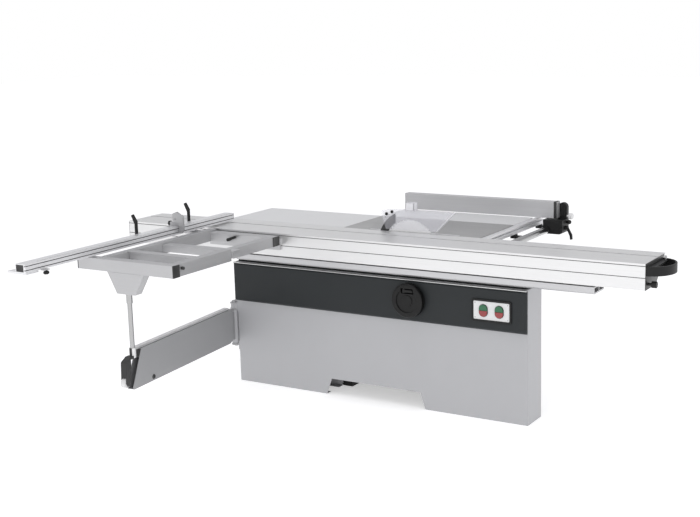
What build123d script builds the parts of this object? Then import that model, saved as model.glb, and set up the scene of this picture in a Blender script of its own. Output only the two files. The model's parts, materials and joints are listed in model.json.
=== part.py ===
"""Sliding-table panel saw, in millimetres.

The origin is on the floor, straight below the saw blade.  +X runs along the sliding table
towards the operator's end, +Y runs from the sliding table towards the rip fence, +Z is up.
"""
from build123d import *
from math import atan2, cos, degrees, hypot, radians, sin
import os

os.makedirs("parts", exist_ok=True)

# ---------------------------------------------------------------- driving dimensions
table_top = 890.0             # working height of every table
sheet = 3.0                   # sheet steel of the housings

cabinet_left, cabinet_right = -985.0, 802.0
cabinet_front, cabinet_back = -270.0, -101.0
cabinet_top = 700.0
body_left, body_right = -400.0, 330.0        # rear housing under the cast-iron table
body_back, body_top = 410.0, 840.0

fascia_bottom, fascia_top, fascia_depth = 476.0, 694.0, 18.0
fascia_face = cabinet_front - fascia_depth

rail_left, rail_right = -948.0, 1158.0       # fixed guide rail
rail_front, rail_back = -315.0, -180.0
rail_bottom, rail_top = 721.0, 757.0

carriage_left, carriage_right = -1725.0, 1403.0
carriage_front, carriage_back = -315.0, -12.0
carriage_bottom = 763.0

cast_left, cast_right = -419.0, 415.0        # cast-iron table
cast_front, cast_back = -8.0, 420.0
outfeed_left = -1209.0
rip_table_back = 690.0

blade_radius = 157.5
arbor_z = 802.5
blade_half = 1.6
shaft_radius = 15.0
tilt_x = 285.0                # inner faces of the tilting end plates, each side
scoring_x, scoring_z, scoring_radius = 222.0, 826.0, 60.0
motor_x, motor_z, motor_radius = -90.0, 600.0, 85.0
belt_y, belt_width = 128.0, 20.0

wheel_x, wheel_z, wheel_radius = 150.0, 592.0, 90.0
switch_x, switch_z = 613.5, 578.5
button_columns = {"main": 570.0, "scoring": 657.0}

hinge_x, hinge_y = -1017.0, -255.0           # upright hinge of the swing arm
column_x, column_y, column_radius = -915.0, -1245.0, 12.5
arm_top, arm_bottom = 430.0, 235.0

frame_left, frame_right = -1220.0, -607.0    # outrigger
frame_front, beam_width, beam_depth = -1270.0, 50.0, 62.0

fence_x, fence_near, fence_far = -1110.0, -1730.0, -100.0   # crosscut fence
fence_back = fence_x - 65.0
stop_y = -600.0

bar_x, bar_z, bar_radius = 510.0, 830.0, 20.0               # rip fence guide bar
rip_left, rip_right, rip_face = -415.0, 541.0, 690.0

# ---------------------------------------------------------------- small helpers


def block(x0, x1, y0, y1, z0, z1, mode=Mode.ADD):
    """A box between two corners, added to or cut from the part being built."""
    with Locations(((x0 + x1) / 2, (y0 + y1) / 2, (z0 + z1) / 2)):
        Box(abs(x1 - x0), abs(y1 - y0), abs(z1 - z0), mode=mode)


def rod_y(x, z, radius, y0, y1, mode=Mode.ADD):
    """A round bar along Y."""
    with Locations(Location((x, (y0 + y1) / 2, z), (90, 0, 0))):
        Cylinder(radius, abs(y1 - y0), mode=mode)


def rod_z(x, y, radius, z0, z1, mode=Mode.ADD):
    """A round bar along Z."""
    with Locations((x, y, (z0 + z1) / 2)):
        Cylinder(radius, abs(z1 - z0), mode=mode)


def section_x(x):
    """Plane across X, whose sketch coordinates are (Y, Z)."""
    return Plane.YZ.offset(x)


def section_y(y):
    """Plane across Y, whose sketch coordinates are (X, Z) and whose normal is -Y."""
    return Plane.XZ.offset(-y)


# ---------------------------------------------------------------- floor frame and housings

# Welded base frame: three skids with raised cross tubes, so that pallet forks pass from the front.
skid_top, cross_top = 100.0, 140.0
anchor_x, anchor_y0, anchor_y1, anchor_radius = 395.0, -60.0, 370.0, 7.0
anchor_centre_x = (body_left + body_right) / 2
with BuildPart() as base_frame:
    block(body_left + sheet, body_left + 63, -95, 405, 0, skid_top)
    block(-30, 30, -20, 405, 0, skid_top)
    block(body_right - 63, body_right - sheet, -95, 405, 0, skid_top)
    block(body_left + sheet, body_right - sheet, -20, 20, skid_top, cross_top)
    block(body_left + sheet, body_right - sheet, 365, 405, skid_top, cross_top)
    for side in (-1, 1):
        edge = anchor_centre_x + side * (body_right - body_left) / 2
        for lug_y in (anchor_y0, anchor_y1):
            block(edge - side * 10, edge + side * 60, lug_y - 30, lug_y + 30, 0, 12)
            rod_z(anchor_centre_x + side * anchor_x, lug_y, anchor_radius, -1, 13, mode=Mode.SUBTRACT)
base_frame.part.label = "base_frame"
export_step(base_frame.part, "parts/base_frame.step")

# Front cabinet: folded sheet box, open below and behind the saw unit, with a fork cut-out.
cutout_floor, cutout_top, cutout_height = (-395.0, 220.0), (-361.0, 190.0), 91.0
with BuildPart() as front_cabinet:
    block(cabinet_left, cabinet_right, cabinet_front, cabinet_back, 0, cabinet_top)
    fillet(front_cabinet.edges().filter_by(Axis.Z).group_by(Axis.Y)[0], 4)
    block(cabinet_left + sheet, cabinet_right - sheet, cabinet_front + sheet, cabinet_back - sheet,
          sheet, cabinet_top - sheet, mode=Mode.SUBTRACT)
    block(cabinet_left + 40, cabinet_right - 40, cabinet_front + 40, cabinet_back - 40, -1, sheet + 1,
          mode=Mode.SUBTRACT)
    block(body_left + sheet, body_right - sheet, cabinet_front + 40, cabinet_back + 1, -1,
          cabinet_top - sheet, mode=Mode.SUBTRACT)
    block(-300, 300, -200, cabinet_back + 1, 650, cabinet_top + 1, mode=Mode.SUBTRACT)
    with BuildSketch(section_y(cabinet_front - 1)):
        with BuildLine():
            Polyline((cutout_floor[0], -1), (cutout_floor[0], 0), (cutout_top[0], cutout_height),
                     (cutout_top[1], cutout_height), (cutout_floor[1], 0), (cutout_floor[1], -1), close=True)
        make_face()
    extrude(amount=-60, mode=Mode.SUBTRACT)
    rod_y(wheel_x, wheel_z, 14, cabinet_front - 1, cabinet_front + sheet + 1, mode=Mode.SUBTRACT)
front_cabinet.part.label = "front_cabinet"
export_step(front_cabinet.part, "parts/front_cabinet.step")

# Rear housing: three folded walls under the cast-iron table, open to the front cabinet.
outlet_x, outlet_z, outlet_radius = -150.0, 230.0, 60.0
gland_x, gland_z = 230.0, 180.0
with BuildPart() as rear_housing:
    with BuildSketch(section_x(body_left)):
        with BuildLine():
            Polyline((cabinet_back, 14), (body_back, 14), (body_back, body_top), (-10, body_top),
                     (-60, 780), (cabinet_back, cabinet_top), close=True)
        make_face()
    extrude(amount=body_right - body_left)
    block(body_left + sheet, body_right - sheet, cabinet_back - 1, body_back - sheet, 0, body_top + 1,
          mode=Mode.SUBTRACT)
    rod_y(outlet_x, outlet_z, outlet_radius - 2, body_back - 10, body_back + 1, mode=Mode.SUBTRACT)
    rod_y(gland_x, gland_z, 8, body_back - 10, body_back + 1, mode=Mode.SUBTRACT)
rear_housing.part.label = "rear_housing"
export_step(rear_housing.part, "parts/rear_housing.step")

# Extraction spigot, flanged to the back of the rear housing.
outlet_length = 70.0
with BuildPart() as dust_outlet:
    rod_y(outlet_x, outlet_z, outlet_radius + 16, body_back, body_back + 4)
    rod_y(outlet_x, outlet_z, outlet_radius, body_back, body_back + 4 + outlet_length)
    rod_y(outlet_x, outlet_z, outlet_radius - 2, body_back - 1, body_back + 5 + outlet_length, mode=Mode.SUBTRACT)
dust_outlet.part.label = "dust_outlet"
export_step(dust_outlet.part, "parts/dust_outlet.step")

# Gland where the mains lead enters.
with BuildPart() as cable_gland:
    with BuildSketch(section_y(body_back)):
        with Locations((gland_x, gland_z)):
            RegularPolygon(14, 6)
    extrude(amount=-10)
    rod_y(gland_x, gland_z, 11, body_back + 10, body_back + 26)
    rod_y(gland_x, gland_z, 5, body_back - 1, body_back + 27, mode=Mode.SUBTRACT)
cable_gland.part.label = "cable_gland"
export_step(cable_gland.part, "parts/cable_gland.step")

# Dark control fascia along the top of the cabinet front.
with BuildPart() as fascia_panel:
    block(cabinet_left - 8, cabinet_right - 2, fascia_face, cabinet_front, fascia_bottom, fascia_top)
    chamfer(fascia_panel.faces().sort_by(Axis.Y)[0].edges(), 9)
    rod_y(wheel_x, wheel_z, 14, fascia_face - 1, cabinet_front + 1, mode=Mode.SUBTRACT)
    block(switch_x - 78, switch_x + 78, fascia_face - 1, cabinet_front + 1, switch_z - 36, switch_z + 36,
          mode=Mode.SUBTRACT)
fascia_panel.part.label = "fascia_panel"
export_step(fascia_panel.part, "parts/fascia_panel.step")

# ---------------------------------------------------------------- switch

switch_width, switch_height = 198.0, 95.0
button_width, button_height, button_gap = 44.0, 61.0, 1.5
with BuildPart() as switch_bezel:
    with BuildSketch(section_y(fascia_face)):
        with Locations((switch_x, switch_z)):
            RectangleRounded(switch_width + 22, switch_height + 22, 14)
            RectangleRounded(switch_width, switch_height, 5, mode=Mode.SUBTRACT)
    extrude(amount=7)
switch_bezel.part.label = "switch_bezel"
export_step(switch_bezel.part, "parts/switch_bezel.step")

with BuildPart() as switch_plate:
    with BuildSketch(section_y(fascia_face)):
        with Locations((switch_x, switch_z)):
            RectangleRounded(switch_width - 0.6, switch_height - 0.6, 5)
        with Locations(*[(x, switch_z) for x in button_columns.values()]):
            SlotOverall(button_height + 1, button_width + 1, rotation=90, mode=Mode.SUBTRACT)
    extrude(amount=4)
switch_plate.part.label = "switch_plate"
export_step(switch_plate.part, "parts/switch_plate.step")

# Start and stop buttons: the upper and lower halves of two ovals.
for group, button_x in button_columns.items():
    for name, up in (("start_button", 1), ("stop_button", -1)):
        node = f"{name}_{group}"
        with BuildPart() as button:
            with BuildSketch(section_y(fascia_face - 1)):
                with Locations((button_x, switch_z)):
                    SlotOverall(button_height, button_width, rotation=90)
                with Locations((button_x, switch_z - up * (20 - button_gap / 2))):
                    Rectangle(button_width + 2, 40, mode=Mode.SUBTRACT)
            extrude(amount=11)
            fillet(button.faces().sort_by(Axis.Y)[0].edges(), 1.5)
        button.part.label = node
        export_step(button.part, f"parts/{node}.step")

# ---------------------------------------------------------------- height handwheel

wheel_back, wheel_face = fascia_face - 4, fascia_face - 42
grip_z = wheel_z + 52
with BuildPart() as handwheel:
    rod_y(wheel_x, wheel_z, wheel_radius, wheel_face, wheel_back)
    fillet(handwheel.edges().filter_by(GeomType.CIRCLE), 9)
    rod_y(wheel_x, wheel_z, 62, wheel_face - 1, wheel_face + 6, mode=Mode.SUBTRACT)
    rod_y(wheel_x, wheel_z, 30, wheel_face + 2, wheel_back)
    rod_y(wheel_x, wheel_z, 10, wheel_back - 1, cabinet_front + 55)
    block(wheel_x - 34, wheel_x + 38, wheel_face - 1, wheel_face + 24, grip_z - 14, grip_z + 14,
          mode=Mode.SUBTRACT)
handwheel.part.label = "handwheel"
export_step(handwheel.part, "parts/handwheel.step")

# Crank grip, folded into a pocket of the wheel; it swings out on an upright pin.
grip_pivot_x, grip_y, grip_radius = wheel_x - 20.0, wheel_face + 12.0, 10.0
with BuildPart() as handwheel_grip:
    rod_z(grip_pivot_x, grip_y, grip_radius, grip_z - grip_radius, grip_z + grip_radius)
    with Locations(Location((grip_pivot_x + 26, grip_y, grip_z), (0, 90, 0))):
        Cylinder(grip_radius - 0.5, 52)
handwheel_grip.part.label = "handwheel_grip"
export_step(handwheel_grip.part, "parts/handwheel_grip.step")

# ---------------------------------------------------------------- rail and sliding table

with BuildPart() as rail_support:
    block(cabinet_left + 12, cabinet_right - 14, -258, -205, cabinet_top, rail_bottom)
rail_support.part.label = "rail_support"
export_step(rail_support.part, "parts/rail_support.step")

with BuildPart() as base_rail:
    block(rail_left, rail_right, rail_front, rail_back, rail_bottom, rail_top)
    chamfer(base_rail.edges().filter_by(Axis.X).group_by(Axis.Y)[0].sort_by(Axis.Z)[0], 8)
    for y0, y1 in ((rail_front + 6, -251), (-245, rail_back - 6)):
        block(rail_left - 1, rail_right + 1, y0, y1, rail_bottom + 8, rail_top - 6, mode=Mode.SUBTRACT)
    split(bisect_by=Plane(origin=(rail_right, 0, rail_top), z_dir=(1, 0, 0.75)), keep=Keep.BOTTOM)
base_rail.part.label = "base_rail"
export_step(base_rail.part, "parts/base_rail.step")

# Roller cage: runs at half the table's speed between rail and table.
with BuildPart() as roller_cage:
    for cage_y in (-287, -213):
        block(-140, 550, cage_y - 12, cage_y + 12, rail_top + 0.5, carriage_bottom - 0.5)
roller_cage.part.label = "roller_cage"
export_step(roller_cage.part, "parts/roller_cage.step")

# Sliding table: a hollow extrusion with a thin rear lip, cut back at 45 degrees for the tilted blade.
lip_bottom, lip_slope = 882.0, 32.0
slope_bottom_y = carriage_bottom - table_top - lip_slope
slot_y, slot_mouth, slot_width = -120.0, 12.0, 22.0
with BuildPart() as carriage_profile:
    with BuildSketch(section_x(carriage_left)):
        with BuildLine():
            Polyline((carriage_front, carriage_bottom), (slope_bottom_y, carriage_bottom),
                     (lip_bottom - table_top - lip_slope, lip_bottom), (carriage_back - 12, lip_bottom),
                     (carriage_back, lip_bottom + 3), (carriage_back, table_top),
                     (carriage_front, table_top), close=True)
        make_face()
        with BuildLine():
            Polyline((-222, carriage_bottom + 6), (slope_bottom_y - 4, carriage_bottom + 6),
                     (-98, 828), (-98, 860), (-222, 860), close=True)
        make_face(mode=Mode.SUBTRACT)
        with Locations((-268, (carriage_bottom + 878) / 2)):
            Rectangle(76, 878 - carriage_bottom - 16, mode=Mode.SUBTRACT)
        with Locations((carriage_front, 822), (carriage_front, 878)):
            Rectangle(8, 3, mode=Mode.SUBTRACT)
        with Locations((slot_y, table_top)):
            Rectangle(slot_mouth, 20, mode=Mode.SUBTRACT)
        with Locations((slot_y, table_top - 10)):
            Rectangle(slot_width, 8, mode=Mode.SUBTRACT)
    extrude(amount=carriage_right - carriage_left)
carriage_profile.part.label = "carriage_profile"
export_step(carriage_profile.part, "parts/carriage_profile.step")

# Push handle at the operator's end: a D-shaped band with a web in its front corner.
handle_y, handle_reach, handle_half, handle_wall = -190.0, 106.0, 122.0, 9.0
handle_bottom, handle_top = 832.0, 877.0
with BuildPart() as push_handle:
    with BuildSketch(Plane.XY.offset(handle_bottom)):
        with Locations((carriage_right, handle_y)):
            Ellipse(handle_reach, handle_half)
            Ellipse(handle_reach - handle_wall, handle_half - handle_wall, mode=Mode.SUBTRACT)
            Rectangle(2 * handle_wall, 2 * handle_half - 2)
        with Locations((carriage_right - handle_reach, handle_y)):
            Rectangle(2 * handle_reach, 3 * handle_half, mode=Mode.SUBTRACT)
    extrude(amount=handle_top - handle_bottom)
    with BuildSketch(Plane.XY.offset(handle_top - 14)):
        with Locations((carriage_right, handle_y)):
            Ellipse(handle_reach - 2, handle_half - 2)
        with Locations((carriage_right + handle_reach + 36, handle_y), (carriage_right - handle_reach, handle_y)):
            Rectangle(2 * handle_reach, 3 * handle_half, mode=Mode.SUBTRACT)
    extrude(amount=8)
push_handle.part.label = "push_handle"
export_step(push_handle.part, "parts/push_handle.step")

# Knob that locks the sliding table to its rail.
lock_y, lock_z = -285.0, 790.0
with BuildPart() as carriage_lock_knob:
    with Locations(Location((carriage_right + 12.3, lock_y, lock_z), (0, 90, 0))):
        Cylinder(7, 24)
    with Locations(Location((carriage_right + 35, lock_y, lock_z), (0, 90, 0))):
        Cylinder(16, 24)
    fillet(carriage_lock_knob.faces().sort_by(Axis.X)[-1].edges(), 3)
carriage_lock_knob.part.label = "carriage_lock_knob"
export_step(carriage_lock_knob.part, "parts/carriage_lock_knob.step")

# ---------------------------------------------------------------- tables

plate_bottom, insert_gap_left, insert_gap_right = 880.0, -260.0, 290.0
rib_x, rib_half = 307.5, 10.5
with BuildPart() as cast_table:
    block(cast_left, cast_right, cast_front, cast_back, body_top, table_top)
    spans = ((cast_left + 12, -rib_x - rib_half), (-rib_x + rib_half, rib_x - rib_half),
             (rib_x + rib_half, cast_right - 12))
    for x0, x1 in spans:
        block(x0, x1, cast_front + 12, cast_back - 12, body_top - 1, plate_bottom, mode=Mode.SUBTRACT)
    block(-rib_x + rib_half, rib_x - rib_half, cast_front - 1, 20, body_top - 1, plate_bottom,
          mode=Mode.SUBTRACT)
    block(insert_gap_left, insert_gap_right, cast_front - 1, 12, plate_bottom - 1, table_top + 1,
          mode=Mode.SUBTRACT)
    block(insert_gap_left, insert_gap_right, 11, 18, table_top - 5, table_top + 1, mode=Mode.SUBTRACT)
cast_table.part.label = "cast_table"
export_step(cast_table.part, "parts/cast_table.step")

with BuildPart() as table_insert:
    block(insert_gap_left + 0.5, insert_gap_right - 0.5, 3, 17.6, table_top - 5, table_top)
table_insert.part.label = "table_insert"
export_step(table_insert.part, "parts/table_insert.step")

# Outfeed table: folded sheet on a strut from the rear housing.
with BuildPart() as outfeed_table:
    block(outfeed_left, cast_left - 1, cast_front, cast_back, 850, table_top)
    block(outfeed_left + 4, cast_left - 5, cast_front + 4, cast_back - 4, 849, table_top - 4,
          mode=Mode.SUBTRACT)
    with BuildSketch(section_y(190)):
        with BuildLine():
            Polyline((-900, table_top - 4), (-860, table_top - 4), (body_left, 470), (body_left, 430), close=True)
        make_face()
    extrude(amount=-30)
outfeed_table.part.label = "outfeed_table"
export_step(outfeed_table.part, "parts/outfeed_table.step")

with BuildPart() as rip_extension_table:
    block(cast_left, cast_right, cast_back + 0.5, rip_table_back, 850, table_top)
    block(cast_left + 4, cast_right - 4, cast_back + 4.5, rip_table_back - 4, 849, table_top - 4,
          mode=Mode.SUBTRACT)
rip_extension_table.part.label = "rip_extension_table"
export_step(rip_extension_table.part, "parts/rip_extension_table.step")

# Flat rail on the table's operator edge, which carries the round guide bar.
edge_rail_right = cast_right + 32
with BuildPart() as table_edge_rail:
    block(cast_right, edge_rail_right, 4, 790, 846, 885)
    block(cast_right + 16, edge_rail_right + 1, 3, 791, 866, 876, mode=Mode.SUBTRACT)
table_edge_rail.part.label = "table_edge_rail"
export_step(table_edge_rail.part, "parts/table_edge_rail.step")

bar_near, bar_far = -2.0, 786.0
with BuildPart() as fence_bar:
    rod_y(bar_x, bar_z, bar_radius, bar_near, bar_far)
    chamfer(fence_bar.edges().filter_by(GeomType.CIRCLE), 2)
fence_bar.part.label = "fence_bar"
export_step(fence_bar.part, "parts/fence_bar.step")

with BuildPart() as fence_bar_brackets:
    for bracket_y in (30, 390, 740):
        block(cast_right + 3, edge_rail_right, bracket_y - 18, bracket_y + 18, bar_z - 7, 846)
        block(edge_rail_right, bar_x - 4, bracket_y - 18, bracket_y + 18, bar_z - 7, bar_z + 7)
    rod_y(bar_x, bar_z, bar_radius, 0, 800, mode=Mode.SUBTRACT)
fence_bar_brackets.part.label = "fence_bar_brackets"
export_step(fence_bar_brackets.part, "parts/fence_bar_brackets.step")

# ---------------------------------------------------------------- saw unit

# Two arc-shaped trunnions hang under the table; their centre is the blade line at table height.
trunnion_inner, trunnion_outer, shoe_outer, shoe_gap = 205.0, 240.0, 256.0, 0.3


def arc_sector(inner, outer, start, end):
    """Ring sector round the tilt axis, with its angles counted from straight down towards +Y."""
    reach = outer + 60
    with Locations((0, table_top)):
        Circle(outer)
        Circle(inner, mode=Mode.SUBTRACT)
    corners = [(reach * sin(radians(a)), table_top - reach * cos(radians(a)))
               for a in (start, (start + end) / 2, end)]
    Polygon((0, table_top), *corners, align=None, mode=Mode.INTERSECT)


with BuildPart() as trunnions:
    for side in (-1, 1):
        with BuildSketch(section_x(side * rib_x - 7.5)):
            arc_sector(trunnion_inner, trunnion_outer, -12, 74)
            with Locations((216, 820)):
                Rectangle(48, 40)
        extrude(amount=15)
trunnions.part.label = "trunnions"
export_step(trunnions.part, "parts/trunnions.step")

# Tilting frame: end plates with arc shoes, two guide columns and the scoring spindle's boss.
plate_thick, guide_x, guide_y, guide_radius = 8.0, 120.0, 75.0, 15.0
tie_bottom, tie_top = 600.0, 616.0
with BuildPart() as tilt_frame:
    for side in (-1, 1):
        with BuildSketch(section_x(side * (tilt_x + plate_thick / 2) - plate_thick / 2)):
            with BuildLine():
                Polyline((34, tie_bottom), (96, tie_bottom), (205, 700), (205, 745), (96, 862), (34, 862),
                         close=True)
            make_face()
        extrude(amount=plate_thick)
        with BuildSketch(section_x(side * (tilt_x + 15) - 15)):
            arc_sector(trunnion_outer + shoe_gap, shoe_outer, 38, 52)
        extrude(amount=30)
        block(side * 95, side * (tilt_x + 1), 60, 92, 846, 860)
        rod_z(side * guide_x, guide_y, guide_radius, tie_bottom + 2, 850)
    block(-tilt_x, tilt_x, 60, 92, tie_bottom, tie_top)
    rod_y(scoring_x, scoring_z, 22, 8, 60)
    block(scoring_x - 16, scoring_x + 16, 40, 64, scoring_z, 852)
    rod_y(scoring_x, scoring_z, 8.06, 7, 61, mode=Mode.SUBTRACT)
tilt_frame.part.label = "tilt_frame"
export_step(tilt_frame.part, "parts/tilt_frame.step")

# Arbor housing: crosshead on the guide columns, the bearing barrel and the motor plate.
with BuildPart() as arbor_housing:
    block(-150, 150, 52, 98, 700, 780)
    rod_y(0, arbor_z, 38, 20, 105)
    block(-150, -30, 98, 118, motor_z - 86, 780)
    for side in (-1, 1):
        rod_z(side * guide_x, guide_y, guide_radius + 0.06, 690, 790, mode=Mode.SUBTRACT)
    rod_y(0, arbor_z, shaft_radius + 0.06, 10, 110, mode=Mode.SUBTRACT)
    rod_y(motor_x, motor_z, 40, 90, 120, mode=Mode.SUBTRACT)
arbor_housing.part.label = "arbor_housing"
export_step(arbor_housing.part, "parts/arbor_housing.step")

# Motor, bolted behind the belt plane through four standoffs.
motor_front = 165.0
with BuildPart() as motor_body:
    rod_y(motor_x, motor_z, motor_radius, motor_front, motor_front + 220)
    fillet(motor_body.edges().filter_by(GeomType.CIRCLE), 8)
    block(motor_x - 45, motor_x + 45, motor_front + 50, motor_front + 150, motor_z - 115, motor_z)
    for dx, dz in ((-48, -68), (48, -68), (-48, 68), (48, 68)):
        rod_y(motor_x + dx, motor_z + dz, 8, 118, motor_front + 40)
    rod_y(motor_x, motor_z, 14.1, motor_front - 1, motor_front + 60, mode=Mode.SUBTRACT)
motor_body.part.label = "motor_body"
export_step(motor_body.part, "parts/motor_body.step")

arbor_pulley_radius, motor_pulley_radius = 35.0, 48.0
flange_radius, flange_y = 32.0, 8.0
with BuildPart() as arbor_shaft:
    rod_y(0, arbor_z, shaft_radius, -16, belt_y + belt_width + 4)
    rod_y(0, arbor_z, flange_radius, blade_half, flange_y)
    rod_y(0, arbor_z, flange_radius, -flange_y, -blade_half)
    with BuildSketch(section_y(-flange_y)):
        with Locations((0, arbor_z)):
            RegularPolygon(20, 6)
    extrude(amount=10)
arbor_shaft.part.label = "arbor_shaft"
export_step(arbor_shaft.part, "parts/arbor_shaft.step")

tooth_count = 48
with BuildPart() as saw_blade:
    rod_y(0, arbor_z, blade_radius, -blade_half, blade_half)
    rod_y(0, arbor_z, shaft_radius + 0.02, -5, 5, mode=Mode.SUBTRACT)
    with BuildSketch(section_y(-5)):
        with Locations((0, arbor_z)):
            with PolarLocations(blade_radius, tooth_count):
                Rectangle(14, 3.4)
    extrude(amount=-10, mode=Mode.SUBTRACT)
saw_blade.part.label = "saw_blade"
export_step(saw_blade.part, "parts/saw_blade.step")

with BuildPart() as arbor_pulley:
    rod_y(0, arbor_z, arbor_pulley_radius, belt_y, belt_y + belt_width)
    rod_y(0, arbor_z, shaft_radius + 0.02, belt_y - 1, belt_y + belt_width + 1, mode=Mode.SUBTRACT)
arbor_pulley.part.label = "arbor_pulley"
export_step(arbor_pulley.part, "parts/arbor_pulley.step")

with BuildPart() as motor_pulley:
    rod_y(motor_x, motor_z, motor_pulley_radius, belt_y, belt_y + belt_width)
    rod_y(motor_x, motor_z, 14, belt_y, motor_front + 50)
motor_pulley.part.label = "motor_pulley"
export_step(motor_pulley.part, "parts/motor_pulley.step")

# Flat belt round both pulleys, just clear of them.
belt_clear, belt_thick = 0.4, 4.0
belt_run = hypot(motor_x, motor_z - arbor_z)
belt_dir = Vector(motor_x / belt_run, 0, (motor_z - arbor_z) / belt_run)
belt_angle = degrees(atan2(belt_dir.Z, belt_dir.X))
with BuildPart() as drive_belt:
    for grow, mode in ((belt_thick, Mode.ADD), (0.0, Mode.SUBTRACT)):
        small = arbor_pulley_radius + belt_clear + grow
        large = motor_pulley_radius + belt_clear + grow
        lean = (large - small) / belt_run
        with BuildSketch(section_y(belt_y)):
            with Locations((0, arbor_z)):
                Circle(small)
            with Locations((motor_x, motor_z)):
                Circle(large)
            with BuildLine():
                Polyline(*[
                    (cx + r * cos(radians(belt_angle) + s * (radians(90) + lean)),
                     cz + r * sin(radians(belt_angle) + s * (radians(90) + lean)))
                    for cx, cz, r, s in ((0, arbor_z, small, 1), (motor_x, motor_z, large, 1),
                                         (motor_x, motor_z, large, -1), (0, arbor_z, small, -1))],
                    close=True)
            make_face()
        extrude(amount=-belt_width, mode=mode)
drive_belt.part.label = "drive_belt"
export_step(drive_belt.part, "parts/drive_belt.step")

with BuildPart() as scoring_blade:
    rod_y(scoring_x, scoring_z, scoring_radius, -1.5, 1.5)
    rod_y(scoring_x, scoring_z, 18, -5, 5)
    rod_y(scoring_x, scoring_z, 8, 5, 58)
scoring_blade.part.label = "scoring_blade"
export_step(scoring_blade.part, "parts/scoring_blade.step")

# Riving knife: a crescent behind the blade on a foot that reaches back to the arbor housing.
knife_inner, knife_outer, knife_half = blade_radius + 5, 206.0, 1.25
with BuildPart() as riving_knife:
    with BuildSketch(section_y(knife_half)):
        with Locations((0, arbor_z)):
            Circle(knife_outer)
            Circle(knife_inner, mode=Mode.SUBTRACT)
        with BuildLine():
            Polyline((300, arbor_z - 300), (300, arbor_z + 300), (-92, arbor_z + 300),
                     (-92, arbor_z + 158), (-100, arbor_z), (-100, arbor_z - 300), close=True)
        make_face(mode=Mode.SUBTRACT)
        with Locations((-200, arbor_z - 260)):
            Rectangle(400, 320, mode=Mode.SUBTRACT)
    extrude(amount=2 * knife_half)
    block(-200, -166, -knife_half, 60, arbor_z - 100, arbor_z - 84)
    block(-200, -150, 56, 92, arbor_z - 100, arbor_z - 50)
riving_knife.part.label = "riving_knife"
export_step(riving_knife.part, "parts/riving_knife.step")

# Clear guard hood: two cheeks under a bridge, with a rectangular extraction spout.
hood_half, hood_wall, hood_bottom, hood_top = 8.5, 2.5, 900.0, 1012.0
spout_x0, spout_x1 = -17.0, 34.0
with BuildPart() as guard_hood:
    with BuildSketch(section_y(hood_half)):
        with BuildLine():
            Polyline((-148, hood_bottom), (159, hood_bottom), (273, hood_top), (-100, hood_top),
                     (-178, 1002), (-178, 972), close=True)
        make_face()
    extrude(amount=2 * hood_half)
    block(spout_x0, spout_x1, -22, 22, 1000, 1050)
    block(spout_x0 + 2, spout_x1 - 2, -20, 20, 1002, 1051, mode=Mode.SUBTRACT)
    block(spout_x0 + 2, spout_x1 - 2, -hood_half + hood_wall, hood_half - hood_wall, 1000, 1051,
          mode=Mode.SUBTRACT)
    block(-200, 300, -hood_half + hood_wall, hood_half - hood_wall, hood_bottom - 1, hood_top - 2.5,
          mode=Mode.SUBTRACT)
    block(-200, -86, -hood_half + hood_wall, hood_half - hood_wall, 1000, hood_top + 1, mode=Mode.SUBTRACT)
guard_hood.part.label = "guard_hood"
export_step(guard_hood.part, "parts/guard_hood.step")

# ---------------------------------------------------------------- swing arm and support column

arm_dx, arm_dy = column_x - hinge_x, column_y - hinge_y
arm_reach = hypot(arm_dx, arm_dy)
arm_dir = Vector(arm_dx / arm_reach, arm_dy / arm_reach, 0)
arm_side = Vector(arm_dir.Y, -arm_dir.X, 0)
arm_turn = degrees(atan2(arm_dir.Y, arm_dir.X))
# Sketch coordinates on this plane are (distance from the hinge, height above the floor).
arm_plane = Plane(origin=(hinge_x, hinge_y, 0), x_dir=arm_dir, z_dir=arm_side)

with BuildPart() as hinge_pin:
    rod_z(hinge_x, hinge_y, 10, 198, 464)
hinge_pin.part.label = "hinge_pin"
export_step(hinge_pin.part, "parts/hinge_pin.step")

with BuildPart() as hinge_brackets:
    for z0, z1, flange0, flange1 in ((204, 217, 180, 232), (415, 458, 404, 472)):
        rod_z(hinge_x, hinge_y, 23, z0, z1)
        block(hinge_x, cabinet_left, hinge_y - 13, hinge_y + 23, z0, z1)
        block(cabinet_left - 6, cabinet_left, hinge_y - 13, hinge_y + 40, flange0, flange1)
    rod_z(hinge_x, hinge_y, 10.03, 190, 480, mode=Mode.SUBTRACT)
hinge_brackets.part.label = "hinge_brackets"
export_step(hinge_brackets.part, "parts/hinge_brackets.step")

# Swing arm: folded box with a slanted, open outer end, welded to its hinge tube.
arm_start, arm_half, arm_wall = 62.0, 20.0, 3.0
end_top, end_low, end_low_z = 948.0, 1034.0, 247.0
with BuildPart() as swing_arm:
    with BuildSketch(arm_plane.offset(-arm_half)):
        with BuildLine():
            Polyline((arm_start, arm_bottom + 14), (arm_start + 36, arm_bottom), (end_low - 8, arm_bottom),
                     (end_low, end_low_z), (end_top, arm_top), (arm_start, arm_top), close=True)
        make_face()
    extrude(amount=2 * arm_half)
    with BuildSketch(arm_plane.offset(-arm_half + arm_wall)):
        with BuildLine():
            Polyline((arm_start + 4, arm_bottom + 18), (arm_start + 38, arm_bottom + arm_wall),
                     (1100, arm_bottom + arm_wall), (1100, arm_top - arm_wall),
                     (arm_start + 4, arm_top - arm_wall), close=True)
        make_face()
    extrude(amount=2 * (arm_half - arm_wall), mode=Mode.SUBTRACT)
    with BuildSketch(arm_plane.offset(-6)):
        with Locations(((18 + arm_start + 2) / 2, 322)):
            Rectangle(arm_start + 2 - 18, 160)
    extrude(amount=12)
    rod_z(hinge_x, hinge_y, 23, 217.6, 414.4)
    rod_z(hinge_x, hinge_y, 10.06, 200, 430, mode=Mode.SUBTRACT)
swing_arm.part.label = "swing_arm"
export_step(swing_arm.part, "parts/swing_arm.step")

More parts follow.
